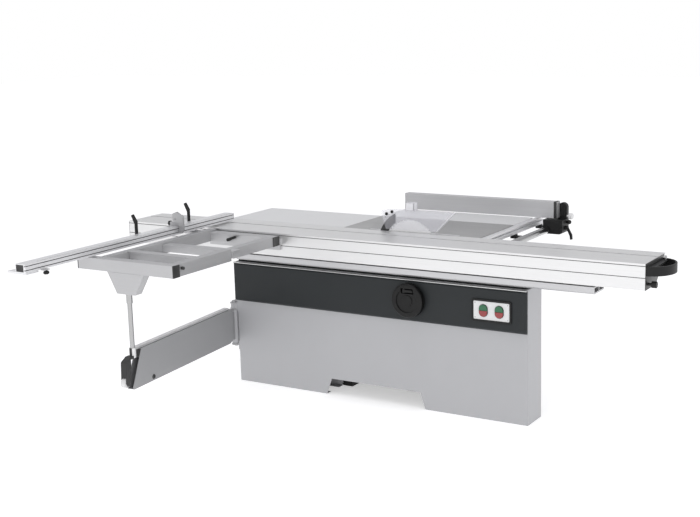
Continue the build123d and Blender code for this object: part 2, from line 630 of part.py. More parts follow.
# Telescopic carrier: a bar that runs on top of the arm, hung with its bracket on the column's foot.
bar_half, bar_bottom_z, bar_top_z, bar_length = 14.0, 431.2, 443.0, 900.0
foot_z, knuckle_radius = 398.0, 17.0
bracket_near, bracket_far, bracket_half, bracket_bottom = arm_reach + 41, arm_reach + 82, 17.0, 262.0
roller_d, roller_z, roller_radius, roller_half = arm_reach + 76, 280.0, 25.0, 12.0
with BuildPart() as arm_extension:
    with BuildSketch(arm_plane.offset(-bar_half)):
        with BuildLine():
            Polyline((arm_reach - bar_length, bar_bottom_z), (arm_reach, bar_bottom_z),
                     (arm_reach, bar_top_z), (arm_reach - bar_length, bar_top_z), close=True)
        make_face()
    extrude(amount=2 * bar_half)
    rod_z(column_x, column_y, knuckle_radius, foot_z - 6, bar_top_z)
    with BuildSketch(arm_plane.offset(-bracket_half)):
        with BuildLine():
            Polyline((arm_reach + 12, foot_z - 6), (arm_reach + 12, foot_z + 8), (bracket_near, foot_z + 8),
                     (bracket_far, foot_z - 12), (bracket_far + 6, roller_z), (bracket_far - 4, bracket_bottom),
                     (bracket_near + 24, bracket_bottom), (bracket_near, roller_z + 44),
                     (bracket_near, foot_z - 6), close=True)
        make_face()
    extrude(amount=2 * bracket_half)
    with BuildSketch(arm_plane.offset(-roller_half - 0.4)):
        with Locations((roller_d, roller_z)):
            Circle(roller_radius + 4)
    extrude(amount=2 * roller_half + 0.8, mode=Mode.SUBTRACT)
    with BuildSketch(arm_plane.offset(-bracket_half)):
        with Locations((roller_d, roller_z)):
            Circle(6)
    extrude(amount=2 * bracket_half)
    rod_z(column_x, column_y, column_radius + 0.07, foot_z - 20, bar_top_z + 1, mode=Mode.SUBTRACT)
arm_extension.part.label = "arm_extension"
export_step(arm_extension.part, "parts/arm_extension.step")

with BuildPart() as support_roller:
    with BuildSketch(arm_plane.offset(-roller_half)):
        with Locations((roller_d, roller_z)):
            Circle(roller_radius)
            Circle(6.06, mode=Mode.SUBTRACT)
    extrude(amount=2 * roller_half)
support_roller.part.label = "support_roller"
export_step(support_roller.part, "parts/support_roller.step")

# ---------------------------------------------------------------- outrigger

beam_bottom = table_top - beam_depth
inner_top = 880.0                           # the section next to the sliding table is lower
inner_right = -635.0
side_left = -1112.0
slide_bottom = 842.0
slide_front, slide_back, slide_right = -800.0, -738.0, -597.0
clamp_tube_front, clamp_bar_front = -391.0, -333.0
tube_wall = 3.0
with BuildPart() as outrigger_front_beam:
    block(frame_left, frame_right, frame_front, frame_front + beam_width, beam_bottom, table_top)
    block(frame_left - 1, frame_right + 1, frame_front + tube_wall, frame_front + beam_width - tube_wall,
          beam_bottom + tube_wall, table_top - tube_wall, mode=Mode.SUBTRACT)
outrigger_front_beam.part.label = "outrigger_front_beam"
export_step(outrigger_front_beam.part, "parts/outrigger_front_beam.step")

# Side tubes: one along the left, and on the right one to each side of the slide tube.
front_beam_back = frame_front + beam_width
side_tubes = ((side_left, front_beam_back, clamp_bar_front, table_top),
              (frame_right - beam_width, front_beam_back, slide_front, table_top),
              (inner_right - beam_width, slide_back, clamp_tube_front, inner_top))
with BuildPart() as outrigger_side_beams:
    for x0, y0, y1, top in side_tubes:
        block(x0, x0 + beam_width, y0, y1, beam_bottom, top)
        block(x0 + tube_wall, x0 + beam_width - tube_wall, y0 - 1, y1 + 1, beam_bottom + tube_wall,
              top - tube_wall, mode=Mode.SUBTRACT)
outrigger_side_beams.part.label = "outrigger_side_beams"
export_step(outrigger_side_beams.part, "parts/outrigger_side_beams.step")

# Cross tubes: a short one in the front bay and the long slide tube, and the crosscut fence's pivot plate.
side_inner = side_left + beam_width
pivot_plate_left, swivel_y, swivel_radius = -1172.0, -440.0, 10.0
cross_tubes = ((frame_right - beam_width, -1064, -1016, beam_bottom, table_top),
               (slide_right, slide_front, slide_back, slide_bottom, inner_top))
with BuildPart() as outrigger_cross_beams:
    for x1, y0, y1, bottom, top in cross_tubes:
        block(side_inner, x1, y0, y1, bottom, top)
        block(side_inner - 1, x1 + 1, y0 + tube_wall, y1 - tube_wall, bottom + tube_wall,
              top - tube_wall, mode=Mode.SUBTRACT)
    block(pivot_plate_left, side_left, swivel_y - 40, swivel_y + 40, inner_top, table_top)
    rod_z((fence_x + fence_back) / 2, swivel_y, swivel_radius + 0.06, inner_top - 1, table_top + 1,
          mode=Mode.SUBTRACT)
outrigger_cross_beams.part.label = "outrigger_cross_beams"
export_step(outrigger_cross_beams.part, "parts/outrigger_cross_beams.step")

# Clamp tube and clamp bar along the front of the sliding table.
with BuildPart() as outrigger_rear_beam:
    block(side_inner, inner_right, clamp_tube_front, clamp_bar_front, beam_bottom, inner_top)
    block(side_inner - 1, inner_right + 1, clamp_tube_front + tube_wall,
          clamp_bar_front - tube_wall, beam_bottom + tube_wall, inner_top - tube_wall, mode=Mode.SUBTRACT)
    block(side_left, inner_right, clamp_bar_front, carriage_front, 800, 862)
outrigger_rear_beam.part.label = "outrigger_rear_beam"
export_step(outrigger_rear_beam.part, "parts/outrigger_rear_beam.step")

gusset_bottom = 721.0
with BuildPart() as column_gusset:
    for inset, mode, top in ((0.0, Mode.ADD, beam_bottom), (4.0, Mode.SUBTRACT, beam_bottom + 1)):
        with BuildSketch(section_y(frame_front + inset)):
            with BuildLine():
                Polyline((-1028 + inset, top), (-971 + inset, gusset_bottom + inset),
                         (-853 - inset, gusset_bottom + inset), (-790 - inset, top), close=True)
            make_face()
        extrude(amount=-(beam_width - 2 * inset), mode=mode)
    rod_z(column_x, column_y, 16.5, gusset_bottom - 1, gusset_bottom + 5, mode=Mode.SUBTRACT)
column_gusset.part.label = "column_gusset"
export_step(column_gusset.part, "parts/column_gusset.step")

with BuildPart() as support_column:
    rod_z(column_x, column_y, column_radius, foot_z - 8, beam_bottom)
    rod_z(column_x, column_y, 16, 672, beam_bottom)
    rod_z(column_x, column_y, 9, foot_z - 9, beam_bottom + 1, mode=Mode.SUBTRACT)
support_column.part.label = "support_column"
export_step(support_column.part, "parts/support_column.step")

# Lever that clamps the outrigger to the sliding table's front groove.
lever_x, lever_z = -925.0, 850.0
with BuildPart() as outrigger_lever:
    rod_y(lever_x, lever_z, 9, clamp_tube_front - 22, clamp_tube_front - 0.3)
    with Locations(Location((lever_x + 24, clamp_tube_front - 18, lever_z + 9), (0, -20, 0))):
        Box(58, 12, 14)
outrigger_lever.part.label = "outrigger_lever"
export_step(outrigger_lever.part, "parts/outrigger_lever.step")

# ---------------------------------------------------------------- crosscut fence

fence_bottom, fence_top = table_top + 10, 942.0
lever_posts = {"near": -843.0, "far": -402.0}
with BuildPart() as crosscut_fence:
    block(fence_back, fence_x, fence_near, fence_far, fence_bottom, fence_top)
    for groove_z in (912, 932):
        block(fence_x - 9, fence_x + 1, fence_near - 1, fence_far + 1, groove_z - 2, groove_z + 2,
              mode=Mode.SUBTRACT)
    block(fence_back + 4, fence_x - 13, fence_near - 1, fence_far + 1, fence_bottom + 4, fence_top - 4,
          mode=Mode.SUBTRACT)
    block(-1235, fence_x - 2, fence_near + 4, fence_near + 84, table_top + 0.5, fence_bottom + 2)
    rod_z((fence_x + fence_back) / 2, swivel_y, swivel_radius, inner_top - 2, fence_bottom + 2)
    for post_y in lever_posts.values():
        block(fence_back - 46, fence_back, post_y - 20, post_y + 20, fence_bottom, fence_bottom + 22)
crosscut_fence.part.label = "crosscut_fence"
export_step(crosscut_fence.part, "parts/crosscut_fence.step")

# Two hand levers that clamp the fence from behind.
for place, post_y in lever_posts.items():
    node = f"crosscut_lever_{place}"
    post_x = fence_back - 25
    with BuildPart() as lever:
        rod_z(post_x, post_y, 9, fence_bottom + 22.4, 1000)
        with BuildSketch(section_y(post_y + 6)):
            with BuildLine():
                Polyline((post_x - 7, 990), (post_x + 9, 1000), (post_x - 16, 1040), (post_x - 28, 1034), close=True)
            make_face()
        extrude(amount=12)
    lever.part.label = node
    export_step(lever.part, f"parts/{node}.step")

# Flip stop: a block that slides on the fence and a plate that swings up from it.
pivot_x, pivot_z = fence_x - 22, 982.0
with BuildPart() as flip_stop_block:
    block(fence_back - 2, fence_x + 2, stop_y + 6, stop_y + 44, fence_top + 0.4, fence_top + 22)
    block(pivot_x - 14, pivot_x + 14, stop_y + 6, stop_y + 30, fence_top + 20, pivot_z)
    rod_y(pivot_x, pivot_z, 14, stop_y + 6, stop_y + 30)
    rod_y(pivot_x, pivot_z, 6, stop_y - 10, stop_y + 7)
flip_stop_block.part.label = "flip_stop_block"
export_step(flip_stop_block.part, "parts/flip_stop_block.step")

with BuildPart() as flip_stop_plate:
    with BuildSketch(section_y(stop_y + 5)):
        with BuildLine():
            Polyline((pivot_x - 15, pivot_z - 12), (pivot_x - 15, pivot_z + 30), (pivot_x + 14, pivot_z + 42),
                     (fence_x + 36, 1000), (fence_x + 36, 924), (fence_x + 22, 906), (fence_x + 4, 912),
                     (fence_x + 4, pivot_z - 20), close=True)
        make_face()
        with Locations((pivot_x, pivot_z)):
            Circle(6.06, mode=Mode.SUBTRACT)
    extrude(amount=12)
flip_stop_plate.part.label = "flip_stop_plate"
export_step(flip_stop_plate.part, "parts/flip_stop_plate.step")

# ---------------------------------------------------------------- rip fence

rip_bottom, rip_top, rip_back = table_top + 3, 987.0, rip_face + 50
with BuildPart() as rip_fence:
    block(rip_left, rip_right, rip_face, rip_back, rip_bottom, rip_top)
    for z0, z1 in ((rip_bottom + 4, 935), (939, rip_top - 4)):
        block(rip_left - 1, rip_right + 1, rip_face + 4, rip_back - 12, z0, z1, mode=Mode.SUBTRACT)
    block(rip_left - 1, rip_right + 1, rip_back - 8, rip_back + 1, 934, 942, mode=Mode.SUBTRACT)
    block(rip_right, rip_right + 18, rip_face, rip_back, rip_bottom, rip_top)
rip_fence.part.label = "rip_fence"
export_step(rip_fence.part, "parts/rip_fence.step")

# Fence carrier: C-shaped casting on the guide bar with an upright behind the fence.
carrier_y0, carrier_y1, carrier_top = 672.0, 772.0, 886.0
with BuildPart() as fence_carrier:
    block(484, 600, carrier_y0, carrier_y1, 806, carrier_top)
    fillet(fence_carrier.edges().filter_by(Axis.Y).group_by(Axis.Z)[0], 20)
    block(546, 600, rip_back + 3, carrier_y1, carrier_top, 950)
    with BuildSketch(section_y(rip_back + 3)):
        with Locations((573, 950)):
            Circle(27)
    extrude(amount=-(carrier_y1 - rip_back - 3))
    block(480, bar_x, carrier_y0 - 1, carrier_y1 + 1, bar_z - 10, bar_z + 10, mode=Mode.SUBTRACT)
    rod_y(bar_x, bar_z, bar_radius + 0.08, carrier_y0 - 1, carrier_y1 + 1, mode=Mode.SUBTRACT)
fence_carrier.part.label = "fence_carrier"
export_step(fence_carrier.part, "parts/fence_carrier.step")

# Eccentric lever that clamps the carrier to the bar.
clamp_x, clamp_y, clamp_z = 600.0, 722.0, 838.0
with BuildPart() as fence_clamp_lever:
    with Locations(Location((clamp_x + 8.4, clamp_y, clamp_z), (0, 90, 0))):
        Cylinder(12, 16)
    with BuildSketch(section_y(clamp_y + 6)):
        with BuildLine():
            Polyline((clamp_x + 4, clamp_z + 4), (clamp_x + 17, clamp_z + 4), (clamp_x + 40, clamp_z - 38),
                     (clamp_x + 42, clamp_z - 64), (clamp_x + 30, clamp_z - 66), (clamp_x + 27, clamp_z - 44),
                     close=True)
        make_face()
    extrude(amount=12)
fence_clamp_lever.part.label = "fence_clamp_lever"
export_step(fence_clamp_lever.part, "parts/fence_clamp_lever.step")

adjust_y, adjust_z = 745.0, 902.0
with BuildPart() as fine_adjust_knob:
    with Locations(Location((607.4, adjust_y, adjust_z), (0, 90, 0))):
        Cylinder(6, 14)
    with Locations(Location((624, adjust_y, adjust_z), (0, 90, 0))):
        Cylinder(17, 22)
    fillet(fine_adjust_knob.edges().filter_by(GeomType.CIRCLE).group_by(Axis.X)[-1], 3)
fine_adjust_knob.part.label = "fine_adjust_knob"
export_step(fine_adjust_knob.part, "parts/fine_adjust_knob.step")
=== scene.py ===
"""Sliding-table panel saw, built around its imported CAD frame.

Lengths are in metres, in the frame's own axes: +X along the sliding table towards the
operator's end, +Y towards the rip fence, +Z up, with the origin on the floor under the blade.
"""
import json
from math import atan2, cos, pi, radians

import bmesh
import bpy
from mathutils import Matrix, Vector

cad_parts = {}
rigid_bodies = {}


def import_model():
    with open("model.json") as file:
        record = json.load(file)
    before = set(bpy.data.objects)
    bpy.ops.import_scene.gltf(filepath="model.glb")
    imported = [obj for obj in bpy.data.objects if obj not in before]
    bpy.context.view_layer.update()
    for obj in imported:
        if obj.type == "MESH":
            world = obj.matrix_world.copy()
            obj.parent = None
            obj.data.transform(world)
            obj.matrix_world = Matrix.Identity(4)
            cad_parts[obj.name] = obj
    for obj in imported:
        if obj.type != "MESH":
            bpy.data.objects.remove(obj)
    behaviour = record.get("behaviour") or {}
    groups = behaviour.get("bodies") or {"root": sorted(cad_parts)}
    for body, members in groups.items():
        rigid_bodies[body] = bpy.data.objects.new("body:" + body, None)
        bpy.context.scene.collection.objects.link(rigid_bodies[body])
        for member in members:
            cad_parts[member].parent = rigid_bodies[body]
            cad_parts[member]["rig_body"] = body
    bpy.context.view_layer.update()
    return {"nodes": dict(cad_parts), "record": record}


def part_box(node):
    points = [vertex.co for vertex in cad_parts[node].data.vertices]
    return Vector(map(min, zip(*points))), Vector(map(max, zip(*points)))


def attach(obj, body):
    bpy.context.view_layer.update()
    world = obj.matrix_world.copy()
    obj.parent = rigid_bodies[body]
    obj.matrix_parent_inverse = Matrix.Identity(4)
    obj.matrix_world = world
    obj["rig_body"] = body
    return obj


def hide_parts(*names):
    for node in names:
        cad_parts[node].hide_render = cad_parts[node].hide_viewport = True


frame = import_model()

# ------------------------------------------------------------------ studio
# A pale seamless floor and a white surround, lit by one wide softbox overhead, a second one at
# the front left and a narrow one at the operator's end.  The lens is a short telephoto.
FLOOR_SIZE = 60.0
CAMERA_PLACE = (3.154, -5.713, 2.049)
CAMERA_YAW, CAMERA_PITCH, CAMERA_ROLL = radians(31.81), radians(11.24), radians(-1.56)
CAMERA_LENS = 62.98
SOFTBOXES = (
    ("overhead", (-0.6, -0.6, 4.6), (0.0, 0.0, 0.6), 4.5, 42.0),
    ("front", (0.6, -6.0, 2.6), (0.0, -0.3, 0.6), 3.0, 34.0),
    ("operator_end", (5.4, -1.2, 2.4), (0.4, -0.2, 0.6), 2.2, 15.0),
)
HORIZON, CEILING, ZENITH = (1.0, 1.0, 1.0, 1.0), (0.56, 0.56, 0.575, 1.0), (0.68, 0.68, 0.7, 1.0)
FLOOR_GLOW = 0.46

scene = bpy.context.scene
scene.view_settings.view_transform = "Standard"

camera = bpy.data.objects.new("camera", bpy.data.cameras.new("camera"))
camera.data.lens = CAMERA_LENS
camera.data.sensor_width = 36.0
camera.matrix_world = (
    Matrix.Translation(CAMERA_PLACE)
    @ Matrix.Rotation(CAMERA_YAW, 4, "Z")
    @ Matrix.Rotation(pi / 2 - CAMERA_PITCH, 4, "X")
    @ Matrix.Rotation(CAMERA_ROLL, 4, "Z")
)
scene.collection.objects.link(camera)
scene.camera = camera

for name, place, target, size, power in SOFTBOXES:
    lamp = bpy.data.objects.new(name, bpy.data.lights.new(name, "AREA"))
    lamp.data.size = size
    lamp.data.energy = power
    lamp.location = place
    lamp.rotation_euler = (Vector(place) - Vector(target)).to_track_quat("Z", "Y").to_euler()
    scene.collection.objects.link(lamp)


def object_from(bm, name):
    """Turns a finished bmesh into an object at the origin."""
    mesh = bpy.data.meshes.new(name)
    bm.to_mesh(mesh)
    bm.free()
    made = bpy.data.objects.new(name, mesh)
    scene.collection.objects.link(made)
    return made


class Value:
    """A socket in a material.  Python's operators on it add Math nodes."""

    def __init__(self, socket):
        self.socket = socket

    def node(self, kind, inputs, output=0, stops=(), **settings):
        """Adds a node to the same material: first its settings, then its inputs' values or links."""
        tree = self.socket.id_data
        new = tree.nodes.new(kind)
        for setting, value in settings.items():
            setattr(new, setting, value)
        for index, (place, colour) in enumerate(stops):
            if index < 2:
                stop = new.color_ramp.elements[index]
            else:
                stop = new.color_ramp.elements.new(place)
            stop.position = place
            stop.color = colour
        for key, value in inputs.items():
            if isinstance(value, Value):
                tree.links.new(value.socket, new.inputs[key])
            else:
                new.inputs[key].default_value = value
        return Value(new.outputs[output])

    def maths(self, operation, first, second=0.0):
        return self.node("ShaderNodeMath", {0: first, 1: second}, operation=operation)

    def __add__(self, other):
        return self.maths("ADD", self, other)

    def __sub__(self, other):
        return self.maths("SUBTRACT", self, other)

    def __rsub__(self, other):
        return self.maths("SUBTRACT", other, self)

    def __mul__(self, other):
        return self.maths("MULTIPLY", self, other)

    def __gt__(self, other):
        return self.maths("GREATER_THAN", self, other)

    def noise(self, scale, detail=3.0, stretch=(1.0, 1.0, 1.0)):
        """Noise from 0 to 1 at this place, drawn out along the axes where stretch is small."""
        drawn = self.node("ShaderNodeMapping", {"Vector": self, "Scale": stretch})
        return drawn.node("ShaderNodeTexNoise", {"Vector": drawn, "Scale": scale, "Detail": detail})

    def blend(self, first, second):
        """A colour between two, by this value."""
        return self.node("ShaderNodeMix", {0: self, 6: first, 7: second}, output=2, data_type="RGBA")

    def bump(self, depth, strength=1.0):
        """A surface normal raised by this value, depth metres high."""
        return self.node("ShaderNodeBump", {"Height": self, "Distance": depth, "Strength": strength})


def material(name, **plain):
    """A material's shader with its plain settings, and the place on the piece as a Value."""
    made = bpy.data.materials.new(name)
    made.use_nodes = True
    shader = made.node_tree.nodes["Principled BSDF"]
    for key, value in plain.items():
        shader.inputs[key.replace("_", " ").title().replace("Ior", "IOR")].default_value = value
    coordinates = made.node_tree.nodes.new("ShaderNodeTexCoord")
    return made, shader, Value(coordinates.outputs["Object"])


def feed(shader, **values):
    """Links values to the shader's inputs."""
    for key, value in values.items():
        shader.id_data.links.new(value.socket, shader.inputs[key.replace("_", " ").title()])


def grey(level, tint=(1.0, 1.0, 1.0)):
    """An sRGB grey from 0 to 1, with a slight tint, as a linear colour."""
    linear = ((level + 0.055) / 1.055) ** 2.4 if level > 0.04 else level / 12.92
    return (linear * tint[0], linear * tint[1], linear * tint[2], 1.0)


scene.world = bpy.data.worlds.new("surround")
scene.world.use_nodes = True
surround = scene.world.node_tree.nodes["Background"]
direction = Value(scene.world.node_tree.nodes.new("ShaderNodeTexCoord").outputs["Generated"])
height = direction.node("ShaderNodeSeparateXYZ", {0: direction}, output=2)
sky = height.node("ShaderNodeValToRGB", {0: height}, stops=((0.1, HORIZON), (0.24, CEILING), (1.0, ZENITH)))
scene.world.node_tree.links.new(sky.socket, surround.inputs["Color"])

bm = bmesh.new()
bmesh.ops.create_grid(bm, x_segments=1, y_segments=1, size=FLOOR_SIZE / 2)
floor = object_from(bm, "studio_floor")
floor_paper, shader, place = material(
    "floor paper", roughness=0.9, emission_color=HORIZON, emission_strength=FLOOR_GLOW
)
feed(shader, base_color=place.noise(0.4).blend(grey(0.955), grey(0.965)))
floor.data.materials.append(floor_paper)

# ------------------------------------------------------------------ cabinet and housings
# Folded steel sheet, powder coated in a silvery grey with a fine orange peel.  Folds are tight
# and every cut edge is deburred.
SHEET_FOLD = 0.0025
PEEL_SCALE, PEEL_DEPTH = 900.0, 0.00006

record = frame["record"]
node_slot = {part["node"]: part["material_slot"] for part in record["subparts"]}


def rides(piece, body, slot, *stands_for):
    """Fixes a piece to its body and hides the CAD nodes that it stands for; slot is not used."""
    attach(piece, body)
    if stands_for:
        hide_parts(*stands_for)
    return piece


def smooth(piece, finish, angle=35.0):
    """Gives a piece its finish and smooth shading that breaks at real corners."""
    piece.data.materials.clear()
    piece.data.materials.append(finish)
    piece.data.shade_smooth()
    piece.data.set_sharp_from_angle(angle=radians(angle))
    return piece


def ease(piece, width, segments=2, angle=32.0):
    """Breaks a piece's sharp edges with a small round."""
    bevel = piece.modifiers.new("eased edges", "BEVEL")
    bevel.width = width
    bevel.segments = segments
    bevel.limit_method = "ANGLE"
    bevel.angle_limit = radians(angle)
    bevel.use_clamp_overlap = True
    bevel.harden_normals = True
    return piece


def finished(node, finish, width=0.0008, segments=2):
    """A CAD node's own shape with its edges eased, which stands for the node."""
    source = frame["nodes"][node]
    bm = bmesh.new()
    bm.from_mesh(source.data)
    bmesh.ops.remove_doubles(bm, verts=bm.verts, dist=1e-6)
    bmesh.ops.dissolve_limit(bm, angle_limit=radians(0.4), verts=bm.verts, edges=bm.edges)
    piece = object_from(bm, node + "_finished")
    smooth(piece, finish)
    if width:
        ease(piece, width, segments)
    return rides(piece, source["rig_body"], node_slot[node], node)


def powder_coat(name, level, tint=(1.0, 1.0, 1.0), gloss=0.42, shine=0.5):
    """Baked powder paint: an even colour with a slight mottle and a fine peel."""
    made, shader, place = material(name, coat_weight=shine / 2, coat_roughness=0.35, specular_ior_level=shine)
    mottle = place.noise(6.0)
    feed(
        shader,
        base_color=mottle.blend(grey(level - 0.008, tint), grey(level + 0.008, tint)),
        roughness=place.noise(40.0) * 0.08 + gloss,
        normal=place.noise(PEEL_SCALE, 1.0).bump(PEEL_DEPTH),
    )
    return made


def turned(bm, profile, place, towards=(0, 0, 1), steps=40, lobes=0, depth=0.0):
    """Adds a closed shape turned on the lathe: (radius, height) points spun about an axis."""
    before = set(bm.verts)
    close_at = profile[0] if profile[0][0] else (0.0, profile[-1][1])
    profile = [*profile, close_at]
    points = [bm.verts.new((radius, 0.0, height)) for radius, height in profile]
    edges = [bm.edges.new(pair) for pair in zip(points, points[1:])]
    bmesh.ops.spin(
        bm, geom=points + edges, axis=(0, 0, 1), cent=(0, 0, 0), steps=steps, angle=2 * pi, use_merge=True
    )
    added = [vert for vert in bm.verts if vert not in before]
    bmesh.ops.remove_doubles(bm, verts=added, dist=1e-6)
    added = [vert for vert in bm.verts if vert not in before]
    for vert in added:
        if lobes and vert.co.xy.length > 1e-4:
            vert.co.xy *= 1 + depth * cos(lobes * atan2(vert.co.y, vert.co.x))
    turn = Vector(towards).to_track_quat("Z", "Y").to_matrix().to_4x4()
    bmesh.ops.transform(bm, verts=added, matrix=Matrix.Translation(place) @ turn)
    bmesh.ops.recalc_face_normals(bm, faces=list({face for vert in added for face in vert.link_faces}))


def pressed_block(bm, low, high, rounding, dish=None, rim=0.004, sink=0.0012):
    """Adds a block with rounded edges; the side that faces along dish has a sunk middle."""
    added = bmesh.ops.create_cube(bm, size=1.0)["verts"]
    low, high = Vector(low), Vector(high)
    size = high - low
    bmesh.ops.transform(
        bm, verts=added, matrix=Matrix.Translation((low + high) / 2) @ Matrix.Diagonal((*size, 1.0))
    )
    faces = list({face for vert in added for face in vert.link_faces})
    edges = list({edge for vert in added for edge in vert.link_edges})
    for face in faces:
        face.normal_update()
    if dish:
        dished = max(faces, key=lambda face: face.normal.dot(Vector(dish)))
        bmesh.ops.inset_region(bm, faces=[dished], thickness=rim, depth=-sink)
    bmesh.ops.bevel(
        bm, geom=edges, offset=rounding, offset_type="OFFSET", segments=2, profile=0.5,
        affect="EDGES", material=-1,
    )


def fitted(name, bm, finish, body, slot, angle=35.0):
    """A finished bmesh as a piece that rides on a body."""
    return rides(smooth(object_from(bm, name), finish, angle), body, slot)


SCREW_HEAD = ((0.0, 0.35), (0.42, 0.35), (0.45, 1.0), (0.78, 0.92), (1.0, 0.45), (1.0, -0.1))


def screws(name, body, places, towards, radius, finish, slot="steel", height=0.55):
    """Button-head screws, one piece for all of them."""
    bm = bmesh.new()
    for place in places:
        profile = [(radius * across, radius * height * up) for across, up in SCREW_HEAD]
        turned(bm, profile, place, towards, 18)
    return fitted(name, bm, finish, body, slot)


silver_paint = powder_coat("silver grey powder coat", 0.70, (0.985, 0.99, 1.02))
painted_shade_black = powder_coat("black powder coat as painted shade", 0.11, gloss=0.5, shine=0.2)
for node in ("front_cabinet", "rear_housing"):
    finished(node, silver_paint, SHEET_FOLD)
# The base frame is a real part, but its black is partly painted shade: it keeps the interior seen through the
# cabinet's cut-out as dark as a shadow.
finished("base_frame", painted_shade_black, 0.002)
finished("hinge_brackets", silver_paint, 0.0015)

zinc = powder_coat("dull zinc", 0.66, (1.0, 1.0, 1.02), 0.3)
dark_plastic = powder_coat("dark moulding", 0.14, gloss=0.4)

HINGE_SCREW_HEIGHTS = (0.188, 0.224, 0.438, 0.464)
HINGE_FLANGE = (-0.9908, -0.2235)
screws(
    "hinge_screws", "machine", [(*HINGE_FLANGE, z) for z in HINGE_SCREW_HEIGHTS], (-1, 0, 0), 0.0055, zinc,
    height=0.45,
)

# The rear housing has a service door on two hinges and quarter-turn locks, and rows of louvres
# pressed out of its sheet to cool the motor.
DOOR_WIDTH, DOOR_HEIGHT, DOOR_SKIN, DOOR_ROUND = 0.2666, 0.52, 0.0016, 0.0007
DOOR_FROM_LEFT, DOOR_MIDDLE, LET_IN = 0.42, 0.47, 0.0002
low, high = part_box("rear_housing")
door_left, back = low[0] + DOOR_FROM_LEFT, high[1]
door_right = door_left + DOOR_WIDTH
bm = bmesh.new()
pressed_block(
    bm, (door_left, back - LET_IN, DOOR_MIDDLE - DOOR_HEIGHT / 2),
    (door_right, back + DOOR_SKIN, DOOR_MIDDLE + DOOR_HEIGHT / 2), DOOR_ROUND,
)
rides(smooth(object_from(bm, "service_door"), silver_paint), "machine", "housing_paint")

LOUVRE_ROWS, LOUVRE_PITCH, LOUVRE_SIZE, LOUVRE_LIP = 9, 0.02, (0.12, 0.006, 0.009), 0.0004
LOUVRE_COLUMNS, LOUVRE_DROP = (0.07, 0.23), 0.1
bm = bmesh.new()
for row in range(LOUVRE_ROWS):
    for start in LOUVRE_COLUMNS:
        z = DOOR_MIDDLE - LOUVRE_DROP + row * LOUVRE_PITCH
        added = bmesh.ops.create_cube(bm, size=1.0)["verts"]
        centre = Vector((low[0] + start + LOUVRE_SIZE[0] / 2, back + LOUVRE_SIZE[1] / 2 - LET_IN, z))
        bmesh.ops.transform(
            bm, verts=added, matrix=Matrix.Translation(centre) @ Matrix.Diagonal((*LOUVRE_SIZE, 1.0))
        )
        for vert in added:
            if vert.co.y > back and vert.co.z > z:
                vert.co.y = back + LOUVRE_LIP
rides(smooth(object_from(bm, "motor_louvres"), silver_paint), "machine", "housing_paint")

LOCK = ((0.0, 0.006), (0.006, 0.006), (0.0065, 0.002), (0.012, 0.0018), (0.013, -0.001))
FIXING_REACH, LOCK_INSET = 0.17, 0.02
HINGE_LAP, HINGE_OUT, HINGE_PROUD, HINGE_HALF, HINGE_ROUND = 0.006, 0.008, 0.008, 0.03, 0.002
bm = bmesh.new()
for z in (DOOR_MIDDLE - FIXING_REACH, DOOR_MIDDLE + FIXING_REACH):
    turned(bm, LOCK, (door_left + LOCK_INSET, back + DOOR_SKIN, z), (0, 1, 0), 24)
    pressed_block(
        bm, (door_right - HINGE_LAP, back, z - HINGE_HALF),
        (door_right + HINGE_OUT, back + HINGE_PROUD, z + HINGE_HALF), HINGE_ROUND,
    )
fitted("door_locks_and_hinges", bm, dark_plastic, "machine", "black_plastic")

# ------------------------------------------------------------------ control fascia
# A pressed panel with bevelled edges, painted anthracite.  A pale metallic strip along its top
# edge is a painted highlight, and the frame's channel above it is painted black as painted shade
# for the shadowed gap under the rail.
anthracite = powder_coat("anthracite powder coat", 0.19, (0.9, 1.0, 1.06), 0.38, 0.16)
finished("fascia_panel", anthracite, 0.0015)
# The rail support is painted black as painted shade: it fills the shadowed gap between the fascia and the rail above.
finished("rail_support", painted_shade_black, 0.001)

HIGHLIGHT_STRIP_HEIGHT = 0.004
low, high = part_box("fascia_panel")
# The strip's pale metal is a painted highlight along the fascia's top edge.
painted_highlight_trim, shader, place = material("painted highlight trim", metallic=0.9)
streaks = place.noise(220.0, 2.0, (0.02, 1.0, 1.0))
feed(shader, base_color=streaks.blend(grey(0.72), grey(0.84)), roughness=streaks * 0.15 + 0.25)
bm = bmesh.new()
pressed_block(
    bm, (low[0] + 0.001, low[1] - 0.0006, high[2] - HIGHLIGHT_STRIP_HEIGHT * 0.2),
    (high[0] - 0.001, high[1], high[2] + HIGHLIGHT_STRIP_HEIGHT), 0.001,
)
fitted("fascia_top_highlight_strip", bm, painted_highlight_trim, "machine", "anodised")

# ------------------------------------------------------------------ aluminium extrusions
# Drawn and anodised profiles.  The die leaves fine lines along each of them, which break up
# the reflections.
DIE_LINES = 260.0
ALONG = {"x": (0.01, 1.0, 1.0), "y": (1.0, 0.01, 1.0), "z": (1.0, 1.0, 0.01)}


def anodised(name, along, level, rough=0.3, tint=(1.0, 1.0, 1.015)):
    """Anodised aluminium with its die lines along one axis."""
    made, shader, place = material(name, metallic=0.75)
    lines = place.noise(DIE_LINES, 2.0, ALONG[along])
    cloud = place.noise(3.0)
    feed(
        shader,
        base_color=(lines * 0.7 + cloud * 0.3).blend(grey(level - 0.03, tint), grey(level + 0.03, tint)),
        roughness=lines * 0.14 + rough,
        normal=lines.bump(0.00004),
    )
    return made


